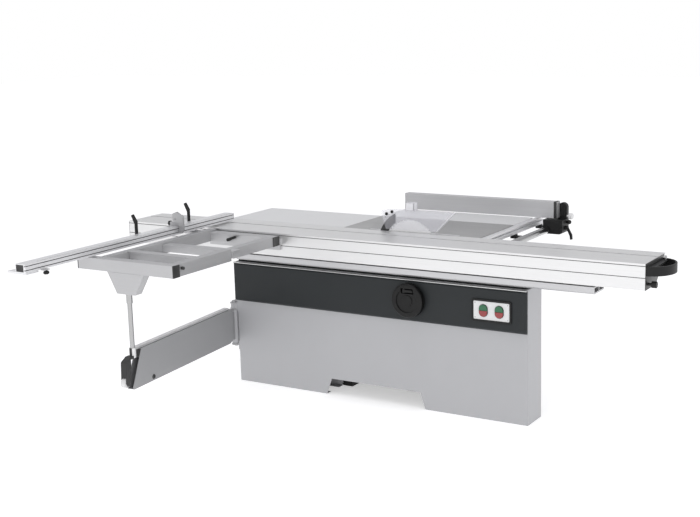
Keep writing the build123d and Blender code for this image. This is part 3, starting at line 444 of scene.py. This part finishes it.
bright_x = anodised("bright anodised, drawn along x", "x", 0.9)
bright_y = anodised("bright anodised, drawn along y", "y", 0.93)
beam_x = anodised("beam anodised, drawn along x", "x", 0.76, 0.42)
beam_y = anodised("beam anodised, drawn along y", "y", 0.73, 0.42)
plate_z = anodised("bright plate, drawn along z", "z", 0.7)
fence_x = anodised("rip fence anodised, drawn along x", "x", 0.8)
finished("table_insert", bright_x, 0.0008)
finished("base_rail", anodised("rail anodised, drawn along x", "x", 0.78), 0.0008)
finished("rip_fence", fence_x, 0.0008)
for node in ("crosscut_fence", "table_edge_rail"):
    finished(node, bright_y, 0.0008)
for node in ("outrigger_front_beam", "outrigger_cross_beams", "outrigger_rear_beam"):
    finished(node, beam_x, 0.002)
finished("outrigger_side_beams", beam_y, 0.002)

# The sliding table's top is ribbed along its length, so that panels glide on it.
RIB_PITCH, RIB_DEPTH, TOP_FACE = 0.0065, 0.00035, 0.8893
ribbed, shader, place = material("ribbed anodised sliding table", metallic=0.75)
lines = place.noise(DIE_LINES, 2.0, ALONG["x"])
cloud = place.noise(3.0)
across = place.node("ShaderNodeSeparateXYZ", {0: place}, output=1)
up = place.node("ShaderNodeSeparateXYZ", {0: place}, output=2)
phase = across * (2 * pi / RIB_PITCH)
rib_relief_and_shade = phase.maths("SINE", phase) * (up > TOP_FACE)
# Besides raising the ribs, this wave darkens the colour in the troughs and lightens it on the crests: painted shade
# and painted highlight.
feed(
    shader,
    base_color=(lines * 0.6 + cloud * 0.3 + rib_relief_and_shade * 0.1).blend(grey(0.87), grey(0.94)),
    roughness=lines * 0.14 + 0.3,
    normal=(rib_relief_and_shade * 0.5 + lines * 0.1).bump(RIB_DEPTH),
)
finished("carriage_profile", ribbed, 0.0008)

# Plates close the sliding table's two ends.
low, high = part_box("carriage_profile")
END_OUTLINE = ((-0.3145, 0.7635), (-0.1595, 0.7635), (-0.0405, 0.8815), (-0.0405, 0.8895), (-0.3145, 0.8895))
PLATE_THICK = 0.0025
for side, x in (("left", low[0] - PLATE_THICK), ("right", high[0])):
    bm = bmesh.new()
    outline = bm.faces.new([bm.verts.new((x, y, z)) for y, z in END_OUTLINE])
    swept = bmesh.ops.extrude_face_region(bm, geom=[outline])["geom"]
    bmesh.ops.translate(
        bm, verts=[part for part in swept if isinstance(part, bmesh.types.BMVert)], vec=(PLATE_THICK, 0, 0)
    )
    bmesh.ops.recalc_face_normals(bm, faces=bm.faces)
    bmesh.ops.bevel(
        bm, geom=bm.edges[:], offset=0.0006, offset_type="OFFSET", segments=2, profile=0.5, affect="EDGES",
        material=-1,
    )
    fitted("sliding_table_end_" + side, bm, dark_plastic, "carriage", "black_plastic")


def groove_shade_strips(name, body, runs, finish=None):
    """Dark strips laid into the grooves of a profile: painted shade for the grooves' shadowed insides."""
    bm = bmesh.new()
    for low, high in runs:
        pressed_block(bm, low, high, 0.0004)
    return fitted(name, bm, finish or dark_plastic, body, "black_plastic")


low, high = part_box("carriage_profile")
ENDS = (low[0] + 0.001, high[0] - 0.001)
FRONT_GROOVES, T_SLOT = ((0.8206, 0.8234), (0.8766, 0.8794)), (-0.1258, -0.1142)
# The dark strips in the sliding table's front grooves and T-slot are painted shade.
groove_shade_strips(
    "carriage_groove_shade_strips", "carriage",
    [((ENDS[0], low[1] + 0.001, z0), (ENDS[1], low[1] + 0.0035, z1)) for z0, z1 in FRONT_GROOVES]
    + [((ENDS[0], T_SLOT[0], 0.8805), (ENDS[1], T_SLOT[1], 0.8835))],
)
low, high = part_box("crosscut_fence")

# A pale scale with a tick for each five millimetres lies in the top of the crosscut fence.
TICK_PITCH, TICK_WIDTH, LONG_TICK, SHORT_REACH = 0.005, 0.16, 0.05, 0.0125
scale_print, shader, place = material("printed scale", roughness=0.4)
along_scale = place.node("ShaderNodeSeparateXYZ", {0: place}, output=1)
across_scale = place.node("ShaderNodeSeparateXYZ", {0: place}, output=0)
short_steps, long_steps = along_scale * (1 / TICK_PITCH), along_scale * (1 / LONG_TICK)
fine = 1 - (short_steps.maths("FRACT", short_steps) > TICK_WIDTH)
coarse = 1 - (long_steps.maths("FRACT", long_steps) > TICK_WIDTH * TICK_PITCH / LONG_TICK)
ticks = fine * (across_scale > high[0] - SHORT_REACH) + coarse
feed(shader, base_color=ticks.node("ShaderNodeClamp", {"Value": ticks}).blend(grey(0.83), grey(0.16)))
bm = bmesh.new()
pressed_block(
    bm, (high[0] - 0.021, low[1] + 0.09, high[2] - 0.0002), (high[0] - 0.008, high[1] - 0.003, high[2] + 0.0005),
    0.0002,
)
fitted("fence_scale", bm, scale_print, "cross_fence", "anodised")
FENCE_GROOVES, GROOVE_HALF = (0.912, 0.932), 0.0018
# The dark strips in the crosscut fence's grooves are painted shade.
groove_shade_strips(
    "fence_groove_shade_strips", "cross_fence",
    [
        ((high[0] - 0.006, low[1] + 0.002, z - GROOVE_HALF), (high[0] - 0.0012, high[1] - 0.002, z + GROOVE_HALF))
        for z in FENCE_GROOVES
    ],
)
finished("flip_stop_plate", plate_z, 0.0012)

# Moulded caps close the open ends of the tubes and profiles.  Each is pressed in and stands
# proud by a few millimetres.
CAP_PROUD, CAP_ROUND = 0.0055, 0.0012


def end_cap(name, body, low, high, towards):
    """A moulded cap with a sunk middle that faces out of a tube's end."""
    bm = bmesh.new()
    pressed_block(bm, low, high, CAP_ROUND, towards)
    return fitted(name, bm, dark_plastic, body, "black_plastic")


low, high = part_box("outrigger_front_beam")
end_cap(
    "front_beam_cap_right", "carriage", (high[0] - 0.001, low[1], low[2]), (high[0] + CAP_PROUD, high[1], high[2]),
    (1, 0, 0),
)
end_cap(
    "front_beam_cap_left", "carriage", (low[0] - CAP_PROUD, low[1], low[2]), (low[0] + 0.001, high[1], high[2]),
    (-1, 0, 0),
)
low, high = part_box("outrigger_cross_beams")
SLIDE_TUBE = (-0.800, -0.738, 0.842, 0.880)
bm = bmesh.new()
pressed_block(
    bm, (high[0] - 0.001, SLIDE_TUBE[0], SLIDE_TUBE[2]), (high[0] + 0.002, SLIDE_TUBE[1], SLIDE_TUBE[3]), 0.0006,
    (1, 0, 0),
)
fitted("slide_tube_plate", bm, beam_y, "carriage", "beam_anodised")
low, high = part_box("outrigger_rear_beam")
CLAMP_TUBE = (-0.391, -0.333, 0.828, 0.88)
end_cap(
    "clamp_tube_cap", "carriage", (high[0] - 0.001, CLAMP_TUBE[0], CLAMP_TUBE[2]),
    (high[0] + 0.004, CLAMP_TUBE[1], CLAMP_TUBE[3]), (1, 0, 0),
)
low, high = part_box("rip_fence")
end_cap(
    "rip_fence_cap", "rip", (high[0] - 0.0175, low[1] - 0.0006, low[2] - 0.0004),
    (high[0] + 0.0008, high[1] + 0.0006, high[2] + 0.0006), (1, 0, 0),
)
low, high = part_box("crosscut_fence")
FENCE_DEPTH, FENCE_FOOT = 0.065, 0.900
end_cap(
    "crosscut_fence_cap", "cross_fence", (high[0] - FENCE_DEPTH + 0.0042, low[1] - 0.0006, FENCE_FOOT + 0.0042),
    (high[0] - 0.0132, low[1] + 0.012, high[2] - 0.0042), (0, -1, 0),
)
TONGUE_LOW, TONGUE_HIGH = (-1.1125, -1.632, 0.8958), (-1.086, -1.596, 0.9008)
bm = bmesh.new()
pressed_block(bm, TONGUE_LOW, TONGUE_HIGH, 0.0012)
fitted("fence_end_tongue", bm, beam_y, "cross_fence", "beam_anodised")
low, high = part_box("base_rail")
end_cap(
    "rail_end_stop", "machine", (low[0] - 0.02, low[1] + 0.05, low[2] - 0.012),
    (low[0] + 0.004, low[1] + 0.1, low[2] + 0.012), (-1, 0, 0),
)

# A dark knurled screw clamps the front beam's side tube.
bm = bmesh.new()
KNURLED = ((0.0, 0.016), (0.006, 0.016), (0.008, 0.013), (0.008, 0.002), (0.004, 0.0), (0.004, -0.003))
low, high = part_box("outrigger_side_beams")
SIDE_SCREW_Y, SIDE_SCREW_Z = -1.2, 0.868
turned(bm, KNURLED, (high[0], SIDE_SCREW_Y, SIDE_SCREW_Z), (1, 0, 0), 32, 12, 0.05)
fitted("side_tube_screw", bm, dark_plastic, "carriage", "black_plastic")

# ------------------------------------------------------------------ tables
# The saw table is grey cast iron, ground on top.  The outfeed and rip extension tables are
# folded sheet in a pale textured paint.
GRIND_LINES = 90.0
cast_iron, shader, place = material("ground cast iron", metallic=0.85)
grinding = place.noise(GRIND_LINES, 4.0, (0.02, 1.0, 1.0))
pores = place.noise(1500.0, 1.0) > 0.72
stain = place.noise(2.2, 5.0)
feed(
    shader,
    base_color=(grinding * 0.5 + stain * 0.5 - pores * 0.25).blend(grey(0.56), grey(0.82)),
    roughness=grinding * 0.16 + stain * 0.1 + 0.26,
    normal=(grinding - pores * 0.6).bump(0.00005),
)
finished("cast_table", cast_iron, 0.0015)
table_paint = powder_coat("pale table paint", 0.86, (0.995, 1.0, 1.01), 0.34)
for node in ("outfeed_table", "rip_extension_table"):
    finished(node, table_paint, 0.0015)

low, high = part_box("table_insert")
INSERT_SCREWS, BESIDE_SLOT, COUNTERSUNK = (0.04, 0.36, 0.66, 0.96), 0.012, 0.0006
screws(
    "insert_screws", "machine",
    [
        (low[0] + (high[0] - low[0]) * share, (low[1] + high[1]) / 2 + BESIDE_SLOT, high[2] - COUNTERSUNK)
        for share in INSERT_SCREWS
    ],
    (0, 0, 1), 0.0035, zinc, height=0.2,
)

# ------------------------------------------------------------------ swing arm and column
# The arm is a folded box in the same family of grey paint.  The column is a ground, chromed
# tube, and the telescopic bar is bright drawn steel.
arm_paint = powder_coat("arm grey powder coat", 0.6, (0.99, 0.995, 1.02), 0.4)
finished("swing_arm", arm_paint, 0.0012)
finished("column_gusset", beam_x, 0.0015)


def plain_steel(name, level, rough, scale=300.0, stretch=(1.0, 1.0, 1.0)):
    """Machined steel with a fine uneven brightness."""
    made, shader, place = material(name, metallic=1.0)
    turning = place.noise(scale, 3.0, stretch)
    feed(
        shader,
        base_color=turning.blend(grey(level - 0.05), grey(level + 0.03)),
        roughness=turning * 0.15 + rough,
        normal=turning.bump(0.00002),
    )
    return made


chrome = plain_steel("ground chrome", 0.7, 0.08)
steel = plain_steel("bright steel", 0.72, 0.25)
dark_steel = plain_steel("blued steel", 0.34, 0.35)
finished("support_column", chrome, 0.0006)

# The telescopic bar is drawn aluminium; the moulded shoe at its end holds the roller.
SHOE_START = -1.2595
bar_and_shoe, shader, place = material("drawn bar with a moulded shoe", specular_ior_level=0.4)
drawn = place.noise(DIE_LINES, 2.0, ALONG["y"])
beyond = 1 - (place.node("ShaderNodeSeparateXYZ", {0: place}, output=1) > SHOE_START)
feed(
    shader,
    base_color=beyond.blend(drawn.blend(grey(0.86), grey(0.92)), grey(0.19)),
    metallic=(1 - beyond) * 0.55,
    roughness=drawn * 0.1 + 0.34,
)
finished("arm_extension", bar_and_shoe, 0.001)

# Collars and a nut close the hinge's knuckles.
low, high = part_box("hinge_pin")
HINGE_AXIS = ((low[0] + high[0]) / 2, (low[1] + high[1]) / 2)
COLLAR = ((0.0232, -0.0005), (0.0262, 0.0003), (0.0268, 0.0016), (0.0268, 0.0054), (0.0262, 0.0067), (0.0232, 0.0075))
bm = bmesh.new()
for z in (0.2055, 0.4165, 0.449):
    turned(bm, COLLAR, (*HINGE_AXIS, z), (0, 0, 1), 48)
turned(
    bm, ((0.0, 0.009), (0.007, 0.009), (0.0085, 0.0075), (0.0172, 0.007), (0.018, 0.006), (0.018, -0.001)),
    (*HINGE_AXIS, 0.4585), (0, 0, 1), 6,
)
fitted("hinge_collars", bm, zinc, "machine", "steel", 25.0)
bm = bmesh.new()
tube_wall = ((0.0231, 0.0), (0.0236, 0.0006), (0.0236, 0.1912), (0.0231, 0.1918))
turned(bm, tube_wall, (*HINGE_AXIS, 0.2202), (0, 0, 1), 48)
fitted("hinge_sleeve", bm, silver_paint, "arm", "arm_paint")
finished("hinge_pin", steel, 0.0015)
finished("fence_bar", chrome, 0.0006)

# The arm's open end has a rubber bumper, and a bolt holds its inner guide.
pin_low, pin_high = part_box("hinge_pin")
foot_low, foot_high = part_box("support_column")
pin = (Vector(pin_low) + Vector(pin_high)).to_2d().to_3d() / 2
foot = (Vector(foot_low) + Vector(foot_high)).to_2d().to_3d() / 2
along_arm = (foot - pin).normalized()
outer_side = along_arm.cross(Vector((0, 0, -1)))
ARM_HALF, BOLT_REACH, BOLT_HEIGHT = 0.02, 0.856, 0.255
screws(
    "arm_guide_bolts", "arm",
    [pin + along_arm * BOLT_REACH + outer_side * ARM_HALF + Vector((0, 0, BOLT_HEIGHT))],
    outer_side, 0.0125, dark_steel, height=0.4,
)
bm = bmesh.new()
BUMPER_SIZE, BUMPER_REACH, BUMPER_HEIGHT = (0.034, 0.0332, 0.04), 0.95, 0.4065
pressed_block(bm, [-size / 2 for size in BUMPER_SIZE], [size / 2 for size in BUMPER_SIZE], 0.002, (1, 0, 0))
bmesh.ops.transform(
    bm, verts=bm.verts,
    matrix=Matrix.Translation(pin + along_arm * BUMPER_REACH + Vector((0, 0, BUMPER_HEIGHT)))
    @ along_arm.to_track_quat("X", "Z").to_matrix().to_4x4(),
)
fitted("arm_bumper", bm, dark_plastic, "arm", "black_plastic")

# ------------------------------------------------------------------ black plastic fittings
# Injection-moulded nylon with a fine spark-eroded grain.
GRAIN_SCALE = 1400.0


def moulded(name, level, rough=0.46, tint=(1.0, 1.0, 1.0)):
    """Moulded plastic with a fine grain."""
    made, shader, place = material(name, specular_ior_level=0.3)
    grain = place.noise(GRAIN_SCALE, 2.0)
    feed(
        shader,
        base_color=place.noise(25.0).blend(grey(level - 0.012, tint), grey(level + 0.012, tint)),
        roughness=grain * 0.12 + rough - 0.06,
        normal=grain.bump(0.00007),
    )
    return made


black_plastic = moulded("black nylon", 0.1)
white_plastic = moulded("white plastic", 0.88, 0.4)
for node in (
    "switch_bezel", "handwheel_grip", "push_handle", "carriage_lock_knob", "roller_cage",
    "outrigger_lever", "crosscut_lever_near", "crosscut_lever_far", "fence_carrier",
    "fence_clamp_lever", "fence_bar_brackets", "cable_gland",
):
    finished(node, black_plastic, 0.001)
finished("flip_stop_block", zinc, 0.001)
finished("handwheel", moulded("handwheel bakelite", 0.05, 0.4), 0.001)
finished("switch_plate", white_plastic, 0.0006)
finished("fine_adjust_knob", white_plastic, 0.001)
finished("support_roller", white_plastic, 0.0015)

# The folding grip has a bright steel pin through its pivot.
low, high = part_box("handwheel_grip")
bm = bmesh.new()
GRIP_PIN = ((0.0, 0.0012), (0.0026, 0.0012), (0.003, 0.0004), (0.003, -0.001))
turned(bm, GRIP_PIN, (low[0] + 0.01, (low[1] + high[1]) / 2, high[2]), (0, 0, 1), 20)
turned(bm, GRIP_PIN, (low[0] + 0.01, (low[1] + high[1]) / 2, low[2]), (0, 0, -1), 20)
fitted("grip_pin", bm, steel, "grip_body", "steel")

low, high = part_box("flip_stop_block")
bm = bmesh.new()
STAR_KNOB = (
    (0.0, 0.02), (0.009, 0.02), (0.013, 0.017), (0.0135, 0.009), (0.0105, 0.004), (0.006, 0.003), (0.006, -0.002),
)
turned(bm, STAR_KNOB, (low[0], (low[1] + high[1]) / 2 + 0.004, low[2] + 0.011), (-1, 0, 0), 48, 6, 0.11)
fitted("stop_clamp_knob", bm, black_plastic, "stop_slider", "black_plastic")

low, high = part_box("crosscut_fence")
bm = bmesh.new()
turned(
    bm, STAR_KNOB, (TONGUE_HIGH[0] - 0.008, (TONGUE_LOW[1] + TONGUE_HIGH[1]) / 2, TONGUE_LOW[2]), (0, 0, -1), 48, 6,
    0.11,
)
fitted("fence_end_knob", bm, black_plastic, "cross_fence", "black_plastic")

BALL_KNOB = (
    (0.0, 0.026), (0.007, 0.0245), (0.0115, 0.02), (0.013, 0.013), (0.011, 0.006), (0.006, 0.001), (0.005, -0.01),
)
bm = bmesh.new()
turned(bm, BALL_KNOB, (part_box("fence_carrier")[1][0], 0.744, 0.868), (1, 0, 0), 32)
fitted("carrier_ball_knob", bm, black_plastic, "carrier", "black_plastic")

low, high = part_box("push_handle")
bm = bmesh.new()
HANDLE_PIN = ((0.0, 0.018), (0.0055, 0.018), (0.0065, 0.0165), (0.0065, 0.005), (0.0045, 0.004), (0.0045, -0.004))
turned(bm, HANDLE_PIN, (low[0] + 0.03, high[1] - 0.04, high[2]), (0, 0, 1), 28)
fitted("handle_pin", bm, steel, "carriage", "steel")

# ------------------------------------------------------------------ push buttons
# Glossy moulded caps, green above for start and red below for stop.
green_cap = moulded("green cap", 0.4, 0.3, (0.35, 1.15, 0.6))
red_cap = moulded("red cap", 0.55, 0.3, (1.2, 0.27, 0.27))
low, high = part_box("switch_plate")
CORNER = 0.009
screws(
    "switch_plate_screws", "machine",
    [
        (x, low[1], z)
        for x in (low[0] + CORNER, high[0] - CORNER)
        for z in (low[2] + CORNER, high[2] - CORNER)
    ],
    (0, -1, 0), 0.0028, zinc, height=0.4,
)
SURROUND_WALL, SURROUND_PROUD = 0.0022, 0.0035
for group in ("main", "scoring"):
    start_box, stop_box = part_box("start_button_" + group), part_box("stop_button_" + group)
    centre = Vector((
        (start_box[0][0] + start_box[1][0]) / 2, low[1] - SURROUND_PROUD / 2, (stop_box[0][2] + start_box[1][2]) / 2
    ))
    width, height = start_box[1][0] - start_box[0][0], start_box[1][2] - stop_box[0][2]
    bm = bmesh.new()
    for grow in (0.0006, SURROUND_WALL):
        ring = bmesh.ops.create_circle(bm, segments=64, radius=width / 2 + grow)["verts"]
        for vert in ring:
            vert.co.y += (height - width) / 2 * (1 if vert.co.y > 0 else -1)
    bmesh.ops.bridge_loops(bm, edges=bm.edges[:])
    swept = bmesh.ops.extrude_face_region(bm, geom=bm.faces[:])["geom"]
    bmesh.ops.translate(
        bm, verts=[part for part in swept if isinstance(part, bmesh.types.BMVert)], vec=(0, 0, SURROUND_PROUD)
    )
    bmesh.ops.transform(
        bm, verts=bm.verts,
        matrix=Matrix.Translation(centre + Vector((0, SURROUND_PROUD / 2 + LET_IN, 0)))
        @ Matrix.Rotation(pi / 2, 4, "X"),
    )
    bmesh.ops.recalc_face_normals(bm, faces=bm.faces)
    fitted("button_surround_" + group, bm, dark_plastic, "machine", "black_plastic")
    finished("start_button_" + group, green_cap, 0.0006)
    finished("stop_button_" + group, red_cap, 0.0006)

# ------------------------------------------------------------------ saw unit
# Grey iron castings carry the arbor and the motor.  Blade and shafts are bright steel.
cast_paint = powder_coat("casting paint", 0.32, gloss=0.55)
motor_paint = powder_coat("motor paint", 0.4, (0.97, 1.0, 1.03), 0.45)
belt_rubber = moulded("belt rubber", 0.13, 0.6)
for node in ("trunnions", "tilt_frame", "arbor_housing"):
    finished(node, cast_paint, 0.001)
finished("motor_body", motor_paint, 0.001)
finished("drive_belt", belt_rubber, 0.0006)
for node in ("arbor_shaft", "arbor_pulley", "motor_pulley", "dust_outlet"):
    finished(node, steel, 0.0006)

# The blades are ground steel discs with gullets and carbide tips brazed on; their expansion slots are not modelled.
TEETH, GULLET, RAKE = 48, 0.0095, 0.4
TIP = (0.0042, 0.0032, 0.0078)


def toothed_blade(node, teeth, gullet, tip, bore, plate):
    """A circular saw blade in place of its CAD node."""
    low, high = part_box(node)
    centre = (Vector(low) + Vector(high)) / 2
    rim = (high[0] - low[0]) / 2
    bm = bmesh.new()
    outer = bmesh.ops.create_circle(bm, segments=teeth * 4, radius=rim - 0.0006)["verts"]
    inner = bmesh.ops.create_circle(bm, segments=teeth * 4, radius=bore)["verts"]
    for vert in outer:
        step = round(atan2(vert.co.y, vert.co.x) / (2 * pi) * teeth * 4) % 4
        vert.co.xy *= 1 - (0.0, 0.18, 0.55, 1.0)[step] * gullet / rim
    rims = list({edge for vert in outer + inner for edge in vert.link_edges})
    bmesh.ops.bridge_loops(bm, edges=rims)
    bmesh.ops.translate(bm, verts=bm.verts, vec=(0, 0, -plate / 2))
    swept = bmesh.ops.extrude_face_region(bm, geom=bm.faces[:])["geom"]
    bmesh.ops.translate(bm, verts=[part for part in swept if isinstance(part, bmesh.types.BMVert)], vec=(0, 0, plate))
    for tooth in range(teeth):
        added = bmesh.ops.create_cube(bm, size=1.0)["verts"]
        bmesh.ops.transform(
            bm, verts=added,
            matrix=Matrix.Rotation(2 * pi * tooth / teeth, 4, "Z")
            @ Matrix.Translation((rim - tip[2] / 2 - 0.0003, tip[0] * RAKE, 0))
            @ Matrix.Diagonal((tip[2], tip[0], tip[1] * 0.98, 1.0)),
        )
    bmesh.ops.transform(bm, verts=bm.verts, matrix=Matrix.Translation(centre) @ Matrix.Rotation(pi / 2, 4, "X"))
    bmesh.ops.recalc_face_normals(bm, faces=bm.faces)
    piece = smooth(object_from(bm, node + "_toothed"), blade_steel)
    return rides(piece, frame["nodes"][node]["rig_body"], node_slot[node], node)


blade_steel, shader, place = material("ground blade steel", metallic=0.45)
swirl = place.noise(90.0, 4.0)
feed(
    shader, base_color=swirl.blend(grey(0.95), grey(0.985)), roughness=swirl * 0.1 + 0.3,
    normal=swirl.bump(0.000003),
)
toothed_blade("saw_blade", TEETH, GULLET, TIP, 0.015, 0.0022)
toothed_blade("scoring_blade", 20, 0.006, (0.0032, 0.003, 0.005), 0.01, 0.002)
finished("riving_knife", dark_steel, 0.0003)

clear_plastic, shader, place = material("clear guard plastic", alpha=0.15, roughness=0.12)
haze = place.noise(30.0)
feed(shader, base_color=haze.blend(grey(0.93, (0.98, 0.975, 1.04)), grey(0.99, (0.98, 0.975, 1.04))))
finished("guard_hood", clear_plastic, 0.0006)

# White rims, welded along the hood's slanted nose and inside its extraction spout, stiffen the
# clear cheeks.
rim_white = moulded("hood rim plastic", 0.93, 0.3, (0.99, 0.99, 1.02))
bm = bmesh.new()
SPOUT_LOW, SPOUT_HIGH, SPOUT_LIP = (-0.0175, -0.0225, 1.013), (0.0345, 0.0225, 1.0505), 0.0035
for low, high in (
    (SPOUT_LOW, (SPOUT_HIGH[0], SPOUT_LOW[1] + SPOUT_LIP, SPOUT_HIGH[2])),
    ((SPOUT_LOW[0], SPOUT_HIGH[1] - SPOUT_LIP, SPOUT_LOW[2]), SPOUT_HIGH),
    (SPOUT_LOW, (SPOUT_LOW[0] + SPOUT_LIP, SPOUT_HIGH[1], SPOUT_HIGH[2])),
    ((SPOUT_HIGH[0] - SPOUT_LIP, SPOUT_LOW[1], SPOUT_LOW[2]), SPOUT_HIGH),
):
    pressed_block(bm, low, high, 0.0008)
fitted("hood_spout_liner", bm, rim_white, "blade_guard", "guard_clear")

NOSE_FOOT, NOSE_TOP, NOSE_THICK, NOSE_WIDTH = (0.159, 0.9), (0.273, 1.012), 0.0045, 0.0178
NOSE_SUNK, NOSE_ROUND = 0.0012, 0.0012
bm = bmesh.new()
added = bmesh.ops.create_cube(bm, size=1.0)["verts"]
nose = Vector((NOSE_TOP[0] - NOSE_FOOT[0], 0, NOSE_TOP[1] - NOSE_FOOT[1]))
middle = Vector(((NOSE_TOP[0] + NOSE_FOOT[0]) / 2, 0, (NOSE_TOP[1] + NOSE_FOOT[1]) / 2))
bmesh.ops.transform(
    bm, verts=added,
    matrix=Matrix.Translation(middle + nose.cross(Vector((0, 1, 0))).normalized() * NOSE_SUNK)
    @ nose.to_track_quat("X", "Z").to_matrix().to_4x4()
    @ Matrix.Diagonal((nose.length, NOSE_WIDTH, NOSE_THICK, 1.0)),
)
bmesh.ops.bevel(
    bm, geom=bm.edges[:], offset=NOSE_ROUND, offset_type="OFFSET", segments=2, profile=0.5, affect="EDGES",
    material=-1,
)
fitted("hood_nose_rim", bm, rim_white, "blade_guard", "guard_clear")

# Two small clamp knobs fix the hood to the riving knife's tip.
HOOD_KNOBS, KNOB_SEAT = ((-0.138, 0.985), (-0.104, 0.998)), -0.0085
SMALL_KNOB = [(radius * 0.62, height * 0.7) for radius, height in STAR_KNOB]
bm = bmesh.new()
for x, z in HOOD_KNOBS:
    turned(bm, SMALL_KNOB, (x, KNOB_SEAT, z), (0, -1, 0), 36, 5, 0.1)
fitted("hood_clamp_knobs", bm, black_plastic, "blade_guard", "black_plastic")

# The motor's cast fins run along its shell, with a terminal box on the side.
low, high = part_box("motor_body")
bm = bmesh.new()
MOTOR_PLACE, SHELL, FIN, FINS = (-0.09, 0.6), 0.0845, (0.0016, 0.007), 44
fin_start, fin_end = 0.19, high[1] - 0.045
for fin in range(FINS):
    angle = 2 * pi * fin / FINS
    added = bmesh.ops.create_cube(bm, size=1.0)["verts"]
    bmesh.ops.transform(
        bm, verts=added,
        matrix=Matrix.Translation((MOTOR_PLACE[0], (fin_start + fin_end) / 2, MOTOR_PLACE[1]))
        @ Matrix.Rotation(angle, 4, "Y")
        @ Matrix.Translation((SHELL + FIN[1] / 2 - 0.001, 0, 0))
        @ Matrix.Diagonal((FIN[1], fin_end - fin_start, FIN[0], 1.0)),
    )
fitted("motor_fins", bm, motor_paint, frame["nodes"]["motor_body"]["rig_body"], "motor_paint")
